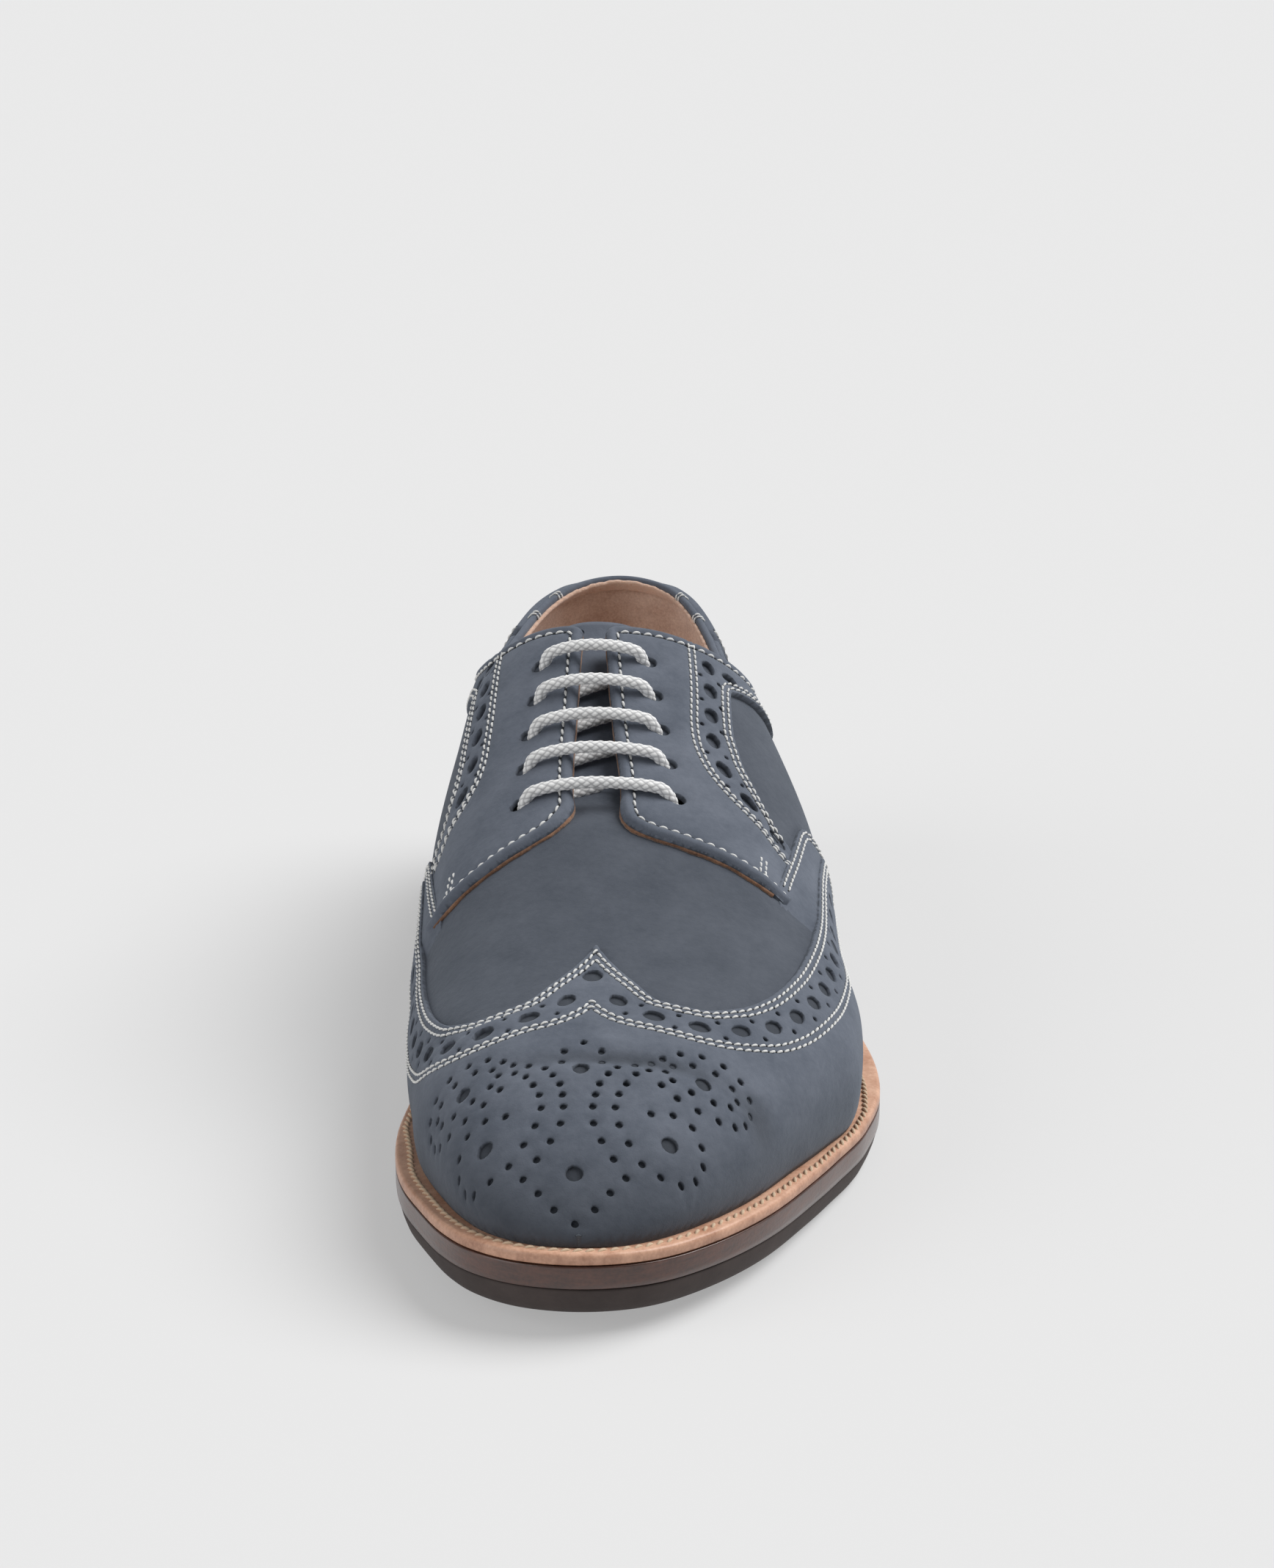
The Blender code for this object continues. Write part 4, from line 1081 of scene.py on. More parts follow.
# Facing with the eyelets, running on as a band along the collar; its rear edge is punched and double-sewn
facing = {
    "front": {
        "medial": table("station girth", (195.5, 47.3), (197.2, 43.0), (197.5, 36.0), (196.9, 27.6),
                        (194.4, 18.0), (193.0, 14.0), (190.2, 9.0)),
        "lateral": table("station girth", (199.0, 45.4), (197.5, 37.3), (195.5, 29.1), (194.3, 20.4),
                         (192.6, 11.5), (189.5, 6.1)),
    },
    "seam": {                # front seam of the punched band
        "medial": table("station girth", (108.0, 26.0), (123.3, 26.1), (141.3, 26.5), (158.3, 28.1),
                        (164.0, 31.5), (167.5, 37.0), (169.5, 43.0), (171.0, 48.5)),
        "lateral": table("station girth", (118.6, 24.1), (127.0, 24.5), (137.7, 24.6), (151.7, 23.9),
                         (161.0, 25.2), (168.7, 29.3), (172.7, 33.9), (176.0, 38.9), (179.7, 45.4),
                         (181.5, 49.0)),
    },
    "rear": {
        "medial": table("station girth", (120.0, 37.2), (126.0, 37.4), (136.0, 37.5), (148.0, 38.2),
                        (155.0, 40.0), (159.5, 43.5), (162.0, 48.0), (166.0, 51.5), (176.0, 51.0),
                        (184.0, 49.6)),
        "lateral": table("station girth", (129.5, 35.2), (138.0, 34.7), (148.0, 34.6), (158.5, 36.9),
                         (166.0, 41.1), (171.5, 46.1), (176.0, 52.5), (184.0, 56.4)),
    },
    "bandLow": table("station medial lateral", (46.5, 65.4, 64.1), (62.0, 64.4, 62.0), (78.0, 64.5, 60.7),
                     (87.0, 65.8, 61.0), (93.0, 67.5, 61.2), (102.0, 71.5, 63.0), (108.0, 75.2, 65.6),
                     (112.0, 77.2, 68.2)),
    "foot": 184.0,           # station where the throat ends
    "lift": 1.7,
    "bandLift": 0.55,
    "tuck": 0.9,             # how much lower it is under the vamp's tab
    "roll": 0.5,             # bulge of the rolled edge
    "frontRoll": 0.9,
    "rawOut": 0.40,          # how far the raw lining shows below it
    "edgeRow": 2.8,          # stitch row beside the rolled edge, and along the front
    "frontRow": 3.5,
    "edgeStitch": (2.9, 1.1, 0.05),   # pitch, size and seat of that row
    "rearRows": (1.1, 2.6),
    "rollGuides": (0.15, 0.4, 0.8, 1.3, 1.9, 2.4, 2.8, 3.2, 3.6, 4.2),   # lines of the relief
    "rearGuides": (0.2, 0.5, 1.1, 1.85, 2.6, 3.3),
    "seamGuides": (-1.5, -0.75, 0.0, 0.75, 1.5),
    "pair": 1.5,             # between the two rows of the front seam
    "holeLine": 4.6,         # from the front seam
    "pitch": 10.1,
    "firstHole": 7.4,
    "hole": (2.75, 1.85),
    "bandHole": {"medial": (115.0, 35.5), "lateral": (123.6, 35.4)},   # oval where the collar band sets off
    "tack": {"medial": 8.5, "lateral": 7.5},
    "eyelet": 2.0,
    "dish": 0.25,            # how much the leather is drawn in round an eyelet
    "eyelets": table("station girth", (131.7, 13.4), (142.9, 14.7), (154.6, 16.1), (166.4, 17.4),
                     (178.4, 18.8)),
    "net": 1.4,
}


# Height of the facing: low along the collar band, full over the instep, low again where the tab lies on it
def facingLift(station, girth):
    full = facing["bandLift"] + (facing["lift"] - facing["bandLift"]) * ramp(station, 96.0, 124.0)
    return full - facing["tuck"] * ramp(np.abs(girth), 38.0, 46.0) * ramp(station, 140.0, 160.0)


# Where the stitch row beside the rolled edge lies: a little further in along the front
def rollRow(station):
    return facing["edgeRow"] + (facing["frontRow"] - facing["edgeRow"]) * ramp(station, 176.0, 188.0)


# A line given by station and girth, or by station and height, on one side of the flat sheet
def sheetLine(rows, side):
    girth = side * rows["girth"] if "girth" in rows else girthAtHeight(rows["station"], side, rows["height"])
    return onSheet(np.stack([rows["station"], girth], -1))


# The facing's two long edges on the flat sheet: the rolled one (front, throat, collar), and the sewn one
def facingEdges(side, name):
    throat = np.linspace(facing["foot"], shoe["throatTop"] + 0.6, 30)
    throat = np.stack([throat, side * girthAtV(throat, side, openEdge(throat, side))], -1)
    top = np.linspace(shoe["throatTop"] - 2.0, facing["bandLow"]["station"][0], 60)
    top = {"station": top, "height": column(collarTable, name, top)}
    rolled = np.concatenate([sheetLine(facing["front"][name], side), onSheet(throat), sheetLine(top, side)])
    band = np.linspace(facing["bandLow"]["station"][0], facing["bandLow"]["station"][-1], 40)
    band = {"station": band, "height": column(facing["bandLow"], name, band)}
    sewn = np.concatenate([sheetLine(band, side), sheetLine(facing["rear"][name], side)])
    return softened(rolled, 5.0), softened(sewn, 4.0)


def facingPiece(side):
    name = sideName(side)
    rolled, sewn = facingEdges(side, name)
    seam = softened(sheetLine(facing["seam"][name], side), 12.0)
    holeLine = softened(beside(seam, side * facing["holeLine"]), 6.0)
    loop = np.concatenate([resample(line, panel["outline"]) for line in (rolled, sewn)])
    ovals, pins = bandHoles(holeLine, facing["hole"], facing["pitch"], facing["firstHole"])
    eyelets = facing["eyelets"]
    bored = punch(onSheet(np.stack([eyelets["station"], side * eyelets["girth"]], -1)), facing["eyelet"],
                  facing["eyelet"])
    extra = punch(onSheet(np.array([facing["bandHole"][name]]) * (1.0, side)), *facing["hole"], -side * 0.9)
    holeSets = [ovals, pins, bored, extra]
    seams = [beside(seam, sign * facing["pair"] / 2) for sign in (-1, 1)]
    seams = [row[insideLoop(row, loop) & (nearest(row, rolled) > 0.9)] for row in seams]
    rear = [trimmed(beside(sewn, -side * distance), 0.0, 14.0) for distance in facing["rearRows"]]
    guides = [beside(rolled, -side * d) for d in facing["rollGuides"]]
    guides += [beside(sewn, -side * d) for d in facing["rearGuides"]]
    guides += [beside(seam, d) for d in facing["seamGuides"]]
    flat, triangles = cutPanel(loop, guides, holeSets, facing["net"])
    pattern = offSheet(flat)
    fromRoll, fromSewn, fromSeam = nearest(flat, rolled), nearest(flat, sewn), nearest(flat, seam)
    lift = facingLift(*pattern.T) + cutEdge(fromSewn, *panel["cut"]) + cutEdge(fromRoll, 1.2, 0.9)
    rowAt = rollRow(pattern[:, 0])
    full = facing["roll"] + (facing["frontRoll"] - facing["roll"]) * ramp(pattern[:, 0], 180.0, 188.0)
    lift += full * np.sin(np.clip(fromRoll / rowAt, 0.0, 1.0) * math.pi)
    lift += groove(fromRoll, rowAt, 0.4) + groove(fromSeam, facing["pair"] / 2)
    for at in facing["rearRows"]:
        lift += groove(fromSewn, at)
    lift += pressed(holeDistance(flat, holeSets)) + pressed(holeDistance(flat, [bored]), facing["dish"], 3.0)
    panelPiece("facing" + name.capitalize(), flat, triangles, lift, ["facing_" + name])
    edgeRow = softened(beside(rolled, -side * rollRow(offSheet(rolled)[:, 0])[:, None]), 2.0)
    sew(edgeRow, facingLift, *facing["edgeStitch"])
    at = np.argmin(np.abs(lengths(edgeRow) - facing["tack"][name]))
    ahead = unit(edgeRow[at + 4] - edgeRow[at - 4])
    inward = -side * np.array([-ahead[1], ahead[0]])
    tacks = [edgeRow[at] + k * ahead + np.outer((0.3, 7.2), inward + 0.1 * ahead) for k in (-0.7, 0.7)]
    for row in seams + rear + tacks:
        sew(row, facingLift)


# Raw lining under the rolled edge: a narrow strip carried along the front and the throat; its section is a
# hook that comes out from under the facing, and its outer edge wavers
def rawEdgePiece(side):
    name = sideName(side)
    edge = facingEdges(side, name)[0]
    edge = edge[offSheet(edge)[:, 0] > shoe["throatTop"] + 1.0]
    edge = trimmed(resample(edge, 0.6), 3.0, 0.0)
    length, station = lengths(edge), offSheet(edge)[:, 0]
    front = ramp(station, 181.0, 190.0)
    waver = np.sin(length * 0.37 + side) + 0.8 * np.sin(length * 0.93 + 1.0) + 0.5 * np.sin(length * 3.1)
    out = np.maximum(facing["rawOut"] * (0.35 + 0.65 * front) * (1 + 0.45 * waver), 0.05)
    high, low = -0.15 + 0.9 * front, -1.4 + 1.3 * front
    middle = (high + low) / 2
    hidden = 0.9 + 0 * out
    rows = [(hidden, high), (-0.6 * out, high + 0.05), (-out, middle), (-0.7 * out, low), (hidden, low)]
    grid = [onLast(*offSheet(beside(edge, -side * inside[:, None])).T, lift) for inside, lift in rows]
    ringPiece("rawEdge" + name.capitalize(), np.stack(grid, 1), rawSuede, (), 0.0)


for side in sides.values():
    facingPiece(side)
    rawEdgePiece(side)


# Side tab of the vamp: lies over the quarter and the facing's lower end, and goes on under the wing cap
tab = {
    "top": {
        "medial": table("station height", (212.0, 45.0), (199.0, 48.6), (195.5, 49.9), (187.0, 50.3),
                        (178.0, 50.6), (164.0, 51.2), (159.0, 50.6), (155.5, 47.0), (151.5, 40.0),
                        (148.5, 33.0), (147.0, 28.0), (146.5, 21.5)),
        "lateral": table("station height", (212.0, 50.8), (199.0, 54.9), (195.7, 56.2), (187.0, 57.2),
                         (178.0, 58.1), (163.3, 59.6), (159.0, 59.2), (155.3, 55.1), (151.0, 47.0),
                         (148.0, 38.0), (146.5, 29.0), (146.0, 21.5)),
    },
    "low": table("station height", (149.0, 20.8), (157.0, 21.0), (170.0, 28.0), (190.0, 33.0), (214.0, 34.0)),
    "lift": 1.15,
    "fade": (193.0, 204.0),  # stations between which it sinks into the vamp
    "rows": (1.0, 2.5),
    "guides": (0.2, 0.5, 1.0, 1.75, 2.5, 3.2),
    "net": 1.4,
}


def tabLift(station, girth):
    return (tab["lift"] + 0.3) * (1 - ramp(station, *tab["fade"])) - 0.3


def tabPiece(side):
    name = sideName(side)
    top = softened(sheetLine(tab["top"][name], side), 5.0)
    loop = np.concatenate([resample(line, panel["outline"]) for line in (top, sheetLine(tab["low"], side))])
    guides = [beside(top, -side * d) for d in tab["guides"]]
    flat, triangles = cutPanel(loop, guides, [], tab["net"])
    pattern = offSheet(flat)
    fromTop = nearest(flat, top)
    lift = tabLift(*pattern.T) + cutEdge(fromTop, *panel["cut"])
    for at in tab["rows"]:
        lift += groove(fromTop, at)
    # painted shade where the tab lies under the wing cap and shows only through its holes
    tone = np.where(underWing(*pattern.T, side), panel["holeFloorShade"], 1.0)
    panelPiece("vampTab" + name.capitalize(), flat, triangles, lift, (), tone)
    for distance in tab["rows"]:
        row = trimmed(beside(top, -side * distance), 0.0, 2.0)
        sew(row[offSheet(row)[:, 0] < tab["fade"][0]], tabLift)


for side in sides.values():
    tabPiece(side)
print("facings and tabs are cut and sewn")


# What the sole's layers share; the upper's margin uses its middle line too
sole = {
    "loop": 180,
    "axis": (34.0, 270.0),   # stations where the middle line starts and ends
    "inward": (0.0, 0.25, 0.5, 0.75),
    "stitchGap": 1.3,        # from the upper
    "stitchEdge": 1.7,       # at least this far from the welt's edge
    "stitchPitch": 2.5,
}


# A plan's middle line beside each station, held inside a span of stations
def planAxis(rows, station, span):
    held = np.clip(station, *span)
    medial, lateral = planEdges(rows, held)
    return np.stack([(medial + lateral) / 2, held], -1)


# Vamp and quarters under the overlays: one skin on the last, open at the collar and the throat
skin = {
    "closeAt": 172.0,        # station where the vamp closes under the facings
    "dent": 4.0,             # how deep it dips there, towards the tongue
    "wall": 2.0,
    "margin": 9.0,           # turned in under the insole
    "tone": 0.58,            # a little darker than the overlays: painted shade, as it lies lower
    "stations": 300,
    "lines": 64,
}


def skinGrid(lift, low=0.0):
    station = closerAtEnds(firstStation, endStation, skin["stations"])
    closeAt = skin["closeAt"]
    sheets = []
    for side in sides.values():
        edge = openEdge(station, side, closeAt)
        v = low + (edge[:, None] - low) * np.linspace(0.0, 1.0, skin["lines"])
        s = station[:, None] + 0 * v
        dent = skin["dent"] * (1 - ramp(s, closeAt, 191.0)) * ramp(v, 0.6, 0.97) * (s >= closeAt)
        sheets.append((s, side, v, lift - dent))
    return sheets


# The feather line drawn towards the sole's middle: the margin that is turned in under the insole
def lastingMargin(station, feet):
    axis = planAxis(lastTable, station, sole["axis"])
    middle = np.stack([axis[:, 0] - shoe["axisX"], along(axis[:, 1])], -1)
    way = middle - feet[:, :2]
    far = np.linalg.norm(way, axis=1, keepdims=True)
    inner = feet[:, :2] + way / far * np.minimum(skin["margin"], 0.6 * far)
    return np.concatenate([inner, feet[:, 2:] + 0.1], 1)


def skinPiece():
    points, faces, outward, tones = [], [], [], []
    start = 0
    for s, side, v, lift in skinGrid(0.0):
        made = offLast(s, side, v, lift)
        turned = offLast(s[:, -1], side, v[:, -1], lift[:, -1] - skin["wall"])
        made = np.concatenate([lastingMargin(s[:, 0], made[:, 0])[:, None], made, turned[:, None]], 1)
        rows, columns = made.shape[:2]
        cells = gridFaces(rows, columns, start).reshape(rows - 1, columns - 1, 4)
        parted = s[1:, 0] < skin["closeAt"]
        cells = [cells[:, :-1].reshape(-1, 4), cells[parted, -1]]
        faces += [c if side > 0 else c[:, ::-1] for c in cells]
        points.append(made.reshape(-1, 3))
        normal = lastNormal(s, side + 0 * s, v)
        outward.append(np.concatenate([normal[:, :1], normal, normal[:, -1:]], 1).reshape(-1, 3))
        girth = side * girthAtV(s, side, v)
        # painted shade: the skin darker than the overlays, and darker still where it shows only through the
        # wing cap's holes
        tone = np.where(underWing(s, girth, side), panel["holeFloorShade"], skin["tone"])
        tones.append(np.concatenate([tone[:, :1], tone, tone[:, -1:]], 1).ravel())
        start += rows * columns
    makePiece("upperSkin", np.concatenate(points), faces, nubuck, ["upper"], np.concatenate(tones),
              np.concatenate(outward))


skinPiece()


# Collar roll: a round edge carried along the collar, from the facings round the heel
collar = {
    "profile": ((-3.0, 0.0), (0.0, 0.05), (0.6, 0.0), (1.1, -0.4), (1.25, -1.0), (1.0, -1.6),
                (0.4, -1.95), (-1.6, -2.05)),
    "lining": ((-1.6, -1.95), (0.3, -1.9), (0.75, -2.1), (0.85, -2.55), (0.65, -2.95), (0.1, -3.1),
               (-2.0, -2.9)),
    "rough": 0.22,           # unevenness of the lining's edge
    "even": 6,
    "seams": (19.0, 20.5, 33.5, 35.0),
    "over": ((-1.2, 0.15), (0.5, 0.15), (1.25, -0.35), (1.35, -1.0), (1.1, -1.7), (0.3, -2.1)),
}


# The collar's edge from the medial facing round the heel to the lateral one, with the directions out of the
# leather and up along it; evenly spaced and evened out where the heel closes
def collarPath():
    turn = np.linspace(0, math.pi / 2, 160)
    station = firstStation + (shoe["throatTop"] - 0.1 - firstStation) * (1 - np.cos(turn))
    halves = []
    for side in sides.values():
        v = openEdge(station, side)
        edge = lastPoint(station, side, v)
        out = lastNormal(station, side + 0 * station, v)
        halves.append(np.concatenate([edge, out, unit(edge - lastPoint(station, side, v - 0.01))], 1))
    line = np.concatenate([halves[0][::-1], halves[1][1:]])
    length = lengths(line[:, :3])
    line = evened(readAt(line, length, np.linspace(0.0, length[-1], 300)), collar["even"])
    return line[:, :3], unit(line[:, 3:6]), unit(line[:, 6:])


def collarPiece(name, profile, finish, rough=0.0):
    edge, out, up = collarPath()
    step = np.arange(len(edge))
    waver = 1 + rough * (np.sin(step * 1.9) + 0.7 * np.sin(step * 0.83 + 1.0) + 0.6 * np.sin(step * 4.3))
    reach = [a * waver if a > 0 else a + 0 * waver for a, _ in profile]
    loop = np.stack([edge + a[:, None] * up + b * out for a, (_, b) in zip(reach, profile)], 1)
    makePiece(name, loop.reshape(-1, 3), [gridFaces(*loop.shape[:2])], finish, (), 1.0,
              np.broadcast_to([0.0, 0.0, 1.0], (loop.shape[0] * loop.shape[1], 3)))


# Seams of the heel strip that cross the rim in pairs
def rimStitches():
    for side in sides.values():
        for station in collar["seams"]:
            at = np.full(1, station)
            v = openEdge(at, side)
            edge, out = lastPoint(at, side, v), lastNormal(at, side + 0 * at, v)
            up = unit(edge - lastPoint(at, side, v - 0.01))
            path = np.concatenate([edge + a * up + b * out for a, b in collar["over"]])
            sewAlong(path, path - (edge - 1.0 * out), 1.7, 0.95, holes=False)


collarPiece("collarRoll", collar["profile"], nubuck)
collarPiece("liningEdge", collar["lining"], suede, collar["rough"])
rimStitches()


# Lining: brown suede inside the upper
def liningPiece():
    points, faces, outward, tones = [], [], [], []
    start = 0
    for s, side, v, lift in skinGrid(-skin["wall"], 0.02):
        made = offLast(s, side, v, lift)
        faces.append(gridFaces(*s.shape, start) if side > 0 else gridFaces(*s.shape, start)[:, ::-1])
        points.append(made.reshape(-1, 3))
        outward.append(-lastNormal(s, side + 0 * s, v).reshape(-1, 3))
        share = np.linspace(0.0, 1.0, s.shape[1])
        tones.append(np.broadcast_to(ramp(share, 0.95, 1.0), s.shape).ravel())
        start += s.size
    makePiece("lining", np.concatenate(points), faces, suede, (), np.concatenate(tones),
              np.concatenate(outward))


liningPiece()
print("skin, collar and lining are made")


# Heel counter: round the back, its front edge sweeping down and forward
counter = {
    "front": table("height station", (33, 96), (41, 91), (49, 79), (56, 63), (62, 50), (65.5, 44),
                   (72, 42), (90, 40)),
    "lift": 1.5,
    "bottom": 1.5,
    "drop": 0.4,
    "rim": 30.0,
    "rows": (1.4, 2.9),
    "seat": 0.05,            # of its stitches
}


def counterPiece():
    up = np.linspace(0.0, 1.0, 60)
    share = np.sin(np.linspace(0.0, math.pi / 2, 90))
    lowest = feather(firstStation) + counter["bottom"]
    sheets = []
    for name, side in sides.items():
        rim = column(collarTable, name, counter["rim"]) - counter["drop"]
        front = column(counter["front"], "station", lowest + (rim - lowest) * up)
        station = front[:, None] - (front - firstStation)[:, None] * share
        bottom = feather(station) + counter["bottom"]
        top = column(collarTable, name, station) - counter["drop"]
        v = vAtHeight(station, bottom + (top - bottom) * up[:, None])
        lift = np.full(v.shape, counter["lift"])
        lift[:, 0] = panel["below"]
        lift[[0, -1]] = panel["below"]
        sheets.append((station, side, v, lift))
    points = [offLast(*sheet).reshape(-1, 3) for sheet in sheets]
    shape = sheets[0][0].shape
    outward = [lastNormal(s, side + 0 * s, v).reshape(-1, 3) for s, side, v, _ in sheets]
    faces = [gridFaces(*shape), gridFaces(*shape, shape[0] * shape[1])[:, ::-1]]
    for s, side, v, lift in sheets:
        girth = side * girthAtV(s, side, v)
        line = onSheet(np.stack([s[2:-1, 1], girth[2:-1, 1]], -1))
        for distance in counter["rows"]:
            sew(beside(line, side * distance), lambda s, g: counter["lift"], seat=counter["seat"])
    makePiece("heelCounter", np.concatenate(points), faces, nubuck, ["counter"], 1.0,
              np.concatenate(outward))


counterPiece()


# Tongue: a leaf under the throat, its top edge just above the facings
tongue = {
    "leaf": table("station halfWidth drop", (110.5, 18, 4.8), (114, 18, 6.0), (120, 18.5, 6.6),
                  (129, 19, 6.0), (170, 20, 5.5), (186, 21, 3.4), (196, 20, 2.6), (203, 19, 2.5)),
    "thick": 2.0,
    "round": 6.0,            # how much lower the top edge's ends are
}


def tonguePiece():
    leaf = tongue["leaf"]
    station = np.linspace(leaf["station"][0], leaf["station"][-1], 90)
    across = np.linspace(-1.0, 1.0, 49)
    s = station[:, None] + tongue["round"] * across ** 4 * (1 - ramp(station, 110.0, 150.0))[:, None]
    girth = column(leaf, "halfWidth", station)[:, None] * across
    lift = -column(leaf, "drop", station)[:, None] + 0 * across
    points = [onLast(s, girth, lift + depth) for depth in (0.0, -tongue["thick"])]
    ring = np.concatenate([points[0], points[1][:, ::-1]], 1)
    rows, columns = ring.shape[:2]
    ends = [np.concatenate([points[0][k][:, None], points[1][k][:, None]], 1) for k in (0, -1)]
    allPoints = np.concatenate([ring.reshape(-1, 3)] + [e.reshape(-1, 3) for e in ends])
    start, count = rows * columns, len(across)
    faces = [gridFaces(rows, columns, closed=True), gridFaces(count, 2, start),
             gridFaces(count, 2, start + 2 * count)]
    makePiece("tongueLeaf", allPoints, faces, nubuck, ["tongue"])


tonguePiece()
print("counter and tongue are made")


# A plan's outline, with the direction out of it at each point
def planLoop(rows, count):
    station = closerAtEnds(rows["station"][0], rows["station"][-1], count)
    medial, lateral = planEdges(rows, station)
    loop = np.stack([np.concatenate([lateral, medial[-2:0:-1]]),
                     np.concatenate([station, station[-2:0:-1]])], -1)
    tangent = np.roll(loop, -1, 0) - np.roll(loop, 1, 0)
    normal = unit(np.stack([tangent[:, 1], -tangent[:, 0]], -1))
    return loop, normal


# A sole layer: a side profile of insets and heights carried round the plan, closed above and below towards
# the sole's middle line
def solePiece(name, profile, finish, replaced, tones):
    loop, normal = planLoop(solePlan, sole["loop"])
    axis = planAxis(solePlan, loop[:, 1], sole["axis"])
    first, last = (loop - normal * profile[k][0] for k in (0, -1))
    inward = sole["inward"]
    rows = [(axis + (first - axis) * share, profile[0][1]) for share in inward]
    rows += [(loop - normal * inset, height) for inset, height in profile]
    rows += [(axis + (last - axis) * share, profile[-1][1]) for share in inward[::-1]]
    toneRows = [tones[0]] * len(inward) + list(tones) + [tones[-1]] * len(inward)
    grid = np.stack([np.stack([p[:, 0] - shoe["axisX"], along(p[:, 1]),
                               column(soleLine, "height", p[:, 1]) + height], -1) for p, height in rows])
    ringPiece(name, grid, finish, replaced, np.repeat(toneRows, len(loop)))


def solePieces():
    top = shoe["outsole"]
    side = ((0.9, top), (0.45, top - 0.15), (0.4, top - 0.6), (0.9, 3.6), (1.5, 1.9), (2.3, 0.7), (3.4, 0.0))
    solePiece("rubberSole", side, rubber, ["outsole"], (1,) * len(side))
    low, top = shoe["outsole"] + shoe["gap"], shoe["outsole"] + shoe["gap"] + shoe["midsole"]
    side = ((0.3, top + 0.27), (0.06, top + 0.2), (0.0, top - 0.1), (0.0, low + 1.2), (0.1, low),
            (0.5, low - 0.25))
    solePiece("leatherMidsole", side, edgeLeather, ["midsole"], (0.8, 0.9, 1, 1, 0.9, 0.6))
    low, top = stack - shoe["welt"], stack
    side = ((2.6, top), (0.9, top), (0.45, top - 0.12), (0.12, top - 0.45), (0.0, top - 1.0),
            (0.0, low + 0.3), (0.2, low))
    solePiece("tanWelt", side, weltLeather, ["welt"], (1, 1, 0.9, 0.7, 0.55, 0.45, 0.35))


solePieces()


# Welt stitches: slanting, close beside the upper, from the waist round the toe
def weltStitches():
    turn = np.linspace(0.0, 1.0, 400)
    station = shoe["heelBreast"] + (endStation - 0.05 - shoe["heelBreast"]) * np.sin(turn * math.pi / 2)
    halves = []
    for side in sides.values():
        beyond = wing["lift"] * ramp(station, 150.0, 156.0) + sole["stitchGap"]
        line = offLast(station, side, 0.10, beyond)
        limit = planEdges(solePlan, station)[0 if side < 0 else 1] - side * sole["stitchEdge"] - shoe["axisX"]
        line[:, 0] = side * np.minimum(side * line[:, 0], side * limit)
        line[:, 2] = column(soleLine, "height", station) + stack + 0.05
        halves.append(line)
    path = resample(np.concatenate([halves[0], halves[1][::-1]]), 0.5)
    up = np.broadcast_to([0.0, 0.0, 1.0], path.shape)
    sewAlong(path, up, sole["stitchPitch"], 1.45, "pale", 28.0, False)


weltStitches()


# Heel block: the sole's plan up to the breast, flat on the floor
heel = {
    "start": 0.8,
    "middle": (-6.0, 40.0),
    "rings": ((1.6, 1.0, 0.0), (1.6, 1.0, 1.0), (1.5, 0.96, 1.0), (1.7, 0.5, 1.0), (2.3, 0.04, 1.0),
              (2.7, 0.0, 1.0), (2.7, 0.0, 0.0)),   # inset, share of the height and of the plan
}


def heelPiece():
    turn = np.linspace(0, math.pi / 2, 70)
    station = heel["start"] + (shoe["heelBreast"] - heel["start"]) * (1 - np.cos(turn))
    medial, lateral = planEdges(solePlan, station)
    loop = np.stack([np.concatenate([lateral[::-1], medial[1:]]),
                     np.concatenate([station[::-1], station[1:]])], -1)
    middle = np.array(heel["middle"])
    top = column(soleLine, "height", loop[:, 1]) - shoe["gap"]
    rows = []
    for inset, share, scale in heel["rings"]:
        shrink = 1 - inset / 33.0
        plan = middle + (loop - middle) * np.where(loop[:, 1:] < 80.0, shrink, 1.0) * scale
        breast = shoe["heelBreast"] * scale + middle[1] * (1 - scale)
        plan[:, 1] = np.where(loop[:, 1] > 85.5, breast, plan[:, 1])
        rows.append(np.stack([plan[:, 0] - shoe["axisX"], along(plan[:, 1]), top * share], -1))
    ringPiece("heelBlock", np.array(rows), rubber, ["heel"])


heelPiece()


# Insole: the feather's outline, inset, a board with brown leather
insole = {
    "loop": 120,
    "axis": (40.0, 270.0),
    "rings": ((3.6, 0.0, 0.0), (3.6, 0.0, 1.0), (3.4, 1.2, 1.0), (3.6, 2.4, 1.0), (4.4, 3.0, 1.0),
              (4.4, 3.0, 0.75), (4.4, 3.0, 0.5), (4.4, 3.0, 0.25), (4.4, 3.0, 0.0)),   # inset, height, share
}


def insolePiece():
    plan = {"station": lastTable["station"], "medial": lastTable["medial"] + lastTable["tuckMedial"],
            "lateral": lastTable["lateral"] - lastTable["tuckLateral"]}
    for edge in ("medial", "lateral"):
        plan[edge][[0, -1]] = lastTable[edge][[0, -1]]
    loop, normal = planLoop(plan, insole["loop"])
    axis = planAxis(plan, loop[:, 1], insole["axis"])
    rows = []
    for inset, height, share in insole["rings"]:
        x, station = (axis + (loop - normal * inset - axis) * share).T
        z = feather(station) + shoe["gap"] + height
        rows.append(np.stack([x - shoe["axisX"], along(station + heelLean(station, z)), z], -1))
    ringPiece("insoleBoard", np.array(rows), suede, ["insole"], 0.0)


insolePiece()
print("sole is made")


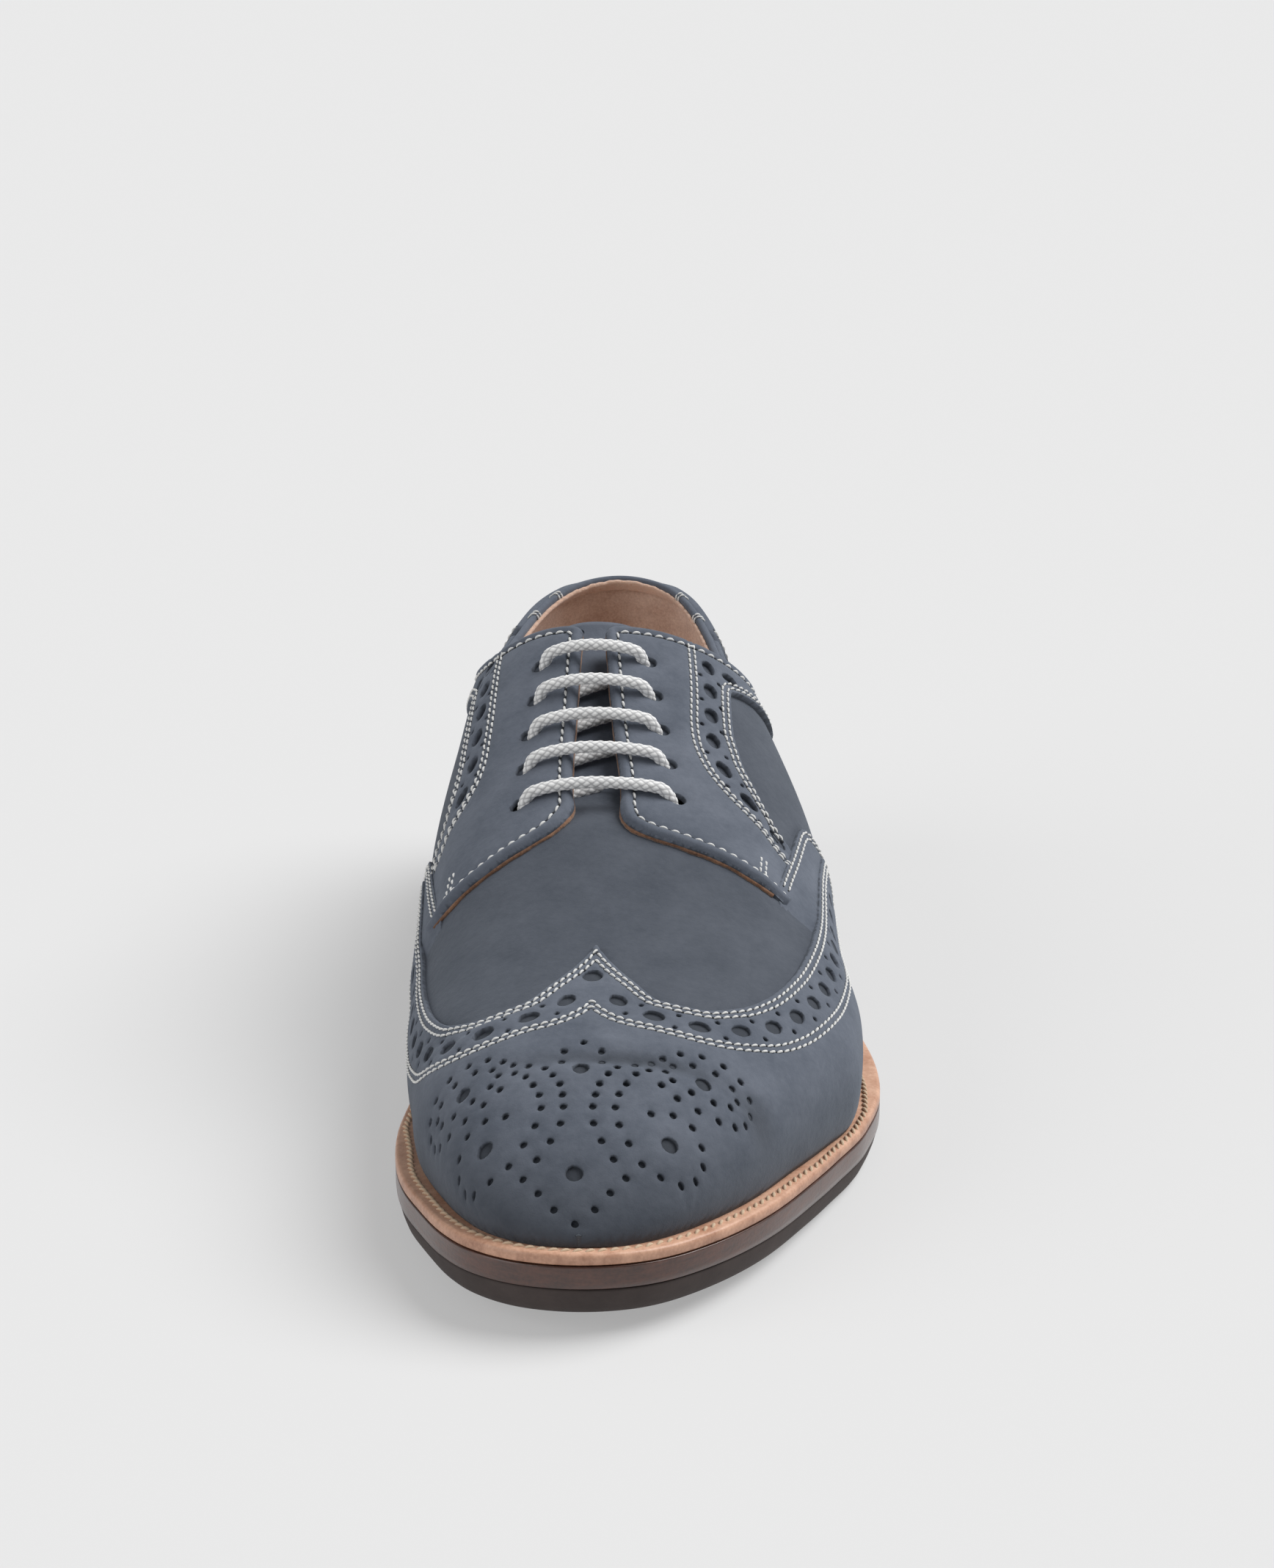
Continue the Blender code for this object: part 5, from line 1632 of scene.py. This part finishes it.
# Lace: out of one eyelet, over to the other, and diagonally underneath to the next bar
lace = {
    "radius": 1.5,
    "strands": 5,            # of each set, around the cord
    "lay": 2.3,              # length of one crossing
    "over": 1.8,             # height of a bar's middle line over the facings
    "arch": (1.5, 1.2, 0.9, 0.5, 0.0),   # of the five bars, from the top
    "inset": 0.9,            # from an eyelet's middle to where a bar dips into it
    "under": -3.4,           # of a run below the facings
    "sides": 36,
    "step": 0.26,
    "relief": 0.22,          # height of the strands
}


def laceRoute():
    eyelets = facing["eyelets"]
    route = []
    rows = len(eyelets["station"])
    for row in range(rows - 1, -1, -1):
        station, girth = eyelets["station"][row], eyelets["girth"][row]
        share = np.linspace(1.0, -1.0, 15)
        lift = facing["lift"] + lace["over"] + lace["arch"][row] * (1 - share ** 2)
        lift[[0, -1]] = 0.0
        lift[[1, -2]] -= 0.3
        route += [(station, k * (girth - lace["inset"]), h) for k, h in zip(share, lift)]
        if row > 0:
            above, wide = eyelets["station"][row - 1], eyelets["girth"][row - 1]
            route += [(station + (above - station) * t, -girth + (wide + girth) * t, lace["under"])
                      for t in np.linspace(0.0, 1.0, 7)]
    top, wide = eyelets["station"][0], eyelets["girth"][0]
    lowest, lowWide = eyelets["station"][-1], eyelets["girth"][-1]
    tail = [(top, -wide, lace["under"]), (top - 2.0, -wide + 4.0, lace["under"])]
    start = [(top + (lowest - top) * t, wide + 1.0 + (lowWide - wide) * t, lace["under"] - 3.2)
             for t in np.linspace(0, 0.95, 8)]
    start.append((lowest, lowWide, lace["under"]))
    return np.array(start + route + tail)


def lacePiece():
    path = resample(onLast(*laceRoute().T), lace["step"])
    kernel = np.full(9, 1 / 9)
    for _ in range(2):
        padded = np.concatenate([np.repeat(path[:1], 4, 0), path, np.repeat(path[-1:], 4, 0)])
        path = np.stack([np.convolve(padded[:, k], kernel, "valid") for k in range(3)], -1)
    path = resample(path, lace["step"])
    ahead = unit(np.gradient(path, axis=0))
    up = np.array([0.0, 0.0, 1.0])
    side = unit(np.cross(ahead, up + 0 * ahead))
    top = np.cross(side, ahead)
    turn = np.linspace(0, 2 * math.pi, lace["sides"], endpoint=False)
    distance = lengths(path)
    ring = np.cos(turn)[:, None] * side[:, None] + np.sin(turn)[:, None] * top[:, None]
    around, ahead = turn[None] / (2 * math.pi) * lace["strands"], distance[:, None] / lace["lay"]
    right, left = around + ahead, around - ahead
    over = (np.floor(right) + np.floor(left)) % 2
    humps = [np.abs(np.sin(math.pi * k)) for k in (right, left)]
    flat = braidLook["flat"]
    strand = over * humps[0] * humps[1] ** flat + (1 - over) * humps[1] * humps[0] ** flat
    points = path[:, None] + (lace["radius"] - lace["relief"] * (1 - strand))[..., None] * ring
    rows, columns = points.shape[:2]
    faces = gridFaces(rows, columns, closed=True)
    caps = np.array([np.arange(columns)[::-1], (rows - 1) * columns + np.arange(columns)])
    i, j = np.meshgrid(np.arange(rows - 1), np.arange(columns), indexing="ij")
    corner = np.stack([np.stack([j, j + 1, j + 1, j], -1) / columns * lace["strands"],
                       distance[np.stack([i, i, i + 1, i + 1], -1)] / lace["lay"]], -1)
    weave = np.concatenate([corner.reshape(-1, 2), np.zeros((2 * columns, 2))])
    bars = ["lace_bar_%d" % k for k in range(1, 6)]
    makePiece("braidedLace", points.reshape(-1, 3), [faces, caps], braid, bars, weave=weave)
    print("lace length %.0f mm" % distance[-1])


lacePiece()
stitchPiece("white", whiteThread)
stitchPiece("pale", paleThread)
needlePiece()
print("lace and stitches are made")


# Floor, light and camera
stage = {
    "floor": 60.0,
    "camera": (0.011476, -0.7416, 0.3065),
    "tilt": (72.26, 0.0, 0.99),
    "lens": 73.97,
    "floorShade": 0.42,
    "floorGlow": 0.35,
    "ambient": 0.22,
    "suns": (("keyLight", (0.75, 0.2, 1.0), 3.1, 45.0), ("leftLight", (-1.0, -0.5, 0.5), 0.9, 50.0)),
}


def stagePieces():
    mesh = bpy.data.meshes.new("floor")
    half = stage["floor"] / 2
    corners = [(-half, -half, 0.0), (half, -half, 0.0), (half, half, 0.0), (-half, half, 0.0)]
    mesh.from_pydata(corners, [], [(0, 1, 2, 3)])
    floor = bpy.data.objects.new("floor", mesh)
    bpy.context.scene.collection.objects.link(floor)
    finish = Finish("paleFloor", {"Base Color": rgb(*[stage["floorShade"]] * 3), "Roughness": 1.0,
                                  "Specular IOR Level": 0.0, "Emission Color": rgb(1.0, 1.0, 1.0),
                                  "Emission Strength": stage["floorGlow"]})
    mesh.materials.append(finish.material)
    world = bpy.data.worlds.new("studio")
    world.use_nodes = True
    world.node_tree.nodes["Background"].inputs["Color"].default_value = rgb(1.0, 1.0, 1.0)
    world.node_tree.nodes["Background"].inputs["Strength"].default_value = stage["ambient"]
    bpy.context.scene.world = world
    for name, source, power, soft in stage["suns"]:
        light = bpy.data.lights.new(name, "SUN")
        light.energy = power
        light.angle = math.radians(soft)
        lamp = bpy.data.objects.new(name, light)
        lamp.rotation_euler = Vector(source).to_track_quat("Z", "Y").to_euler()
        bpy.context.scene.collection.objects.link(lamp)
    camera = bpy.data.cameras.new("photoCamera")
    camera.sensor_fit = "AUTO"
    camera.sensor_width = 36.0
    camera.lens = stage["lens"]
    camera.clip_end = 100.0
    holder = bpy.data.objects.new("photoCamera", camera)
    holder.location = stage["camera"]
    holder.rotation_euler = [math.radians(a) for a in stage["tilt"]]
    bpy.context.scene.collection.objects.link(holder)
    bpy.context.scene.camera = holder
    bpy.context.scene.view_settings.view_transform = "Standard"


stagePieces()
print("stage is set")
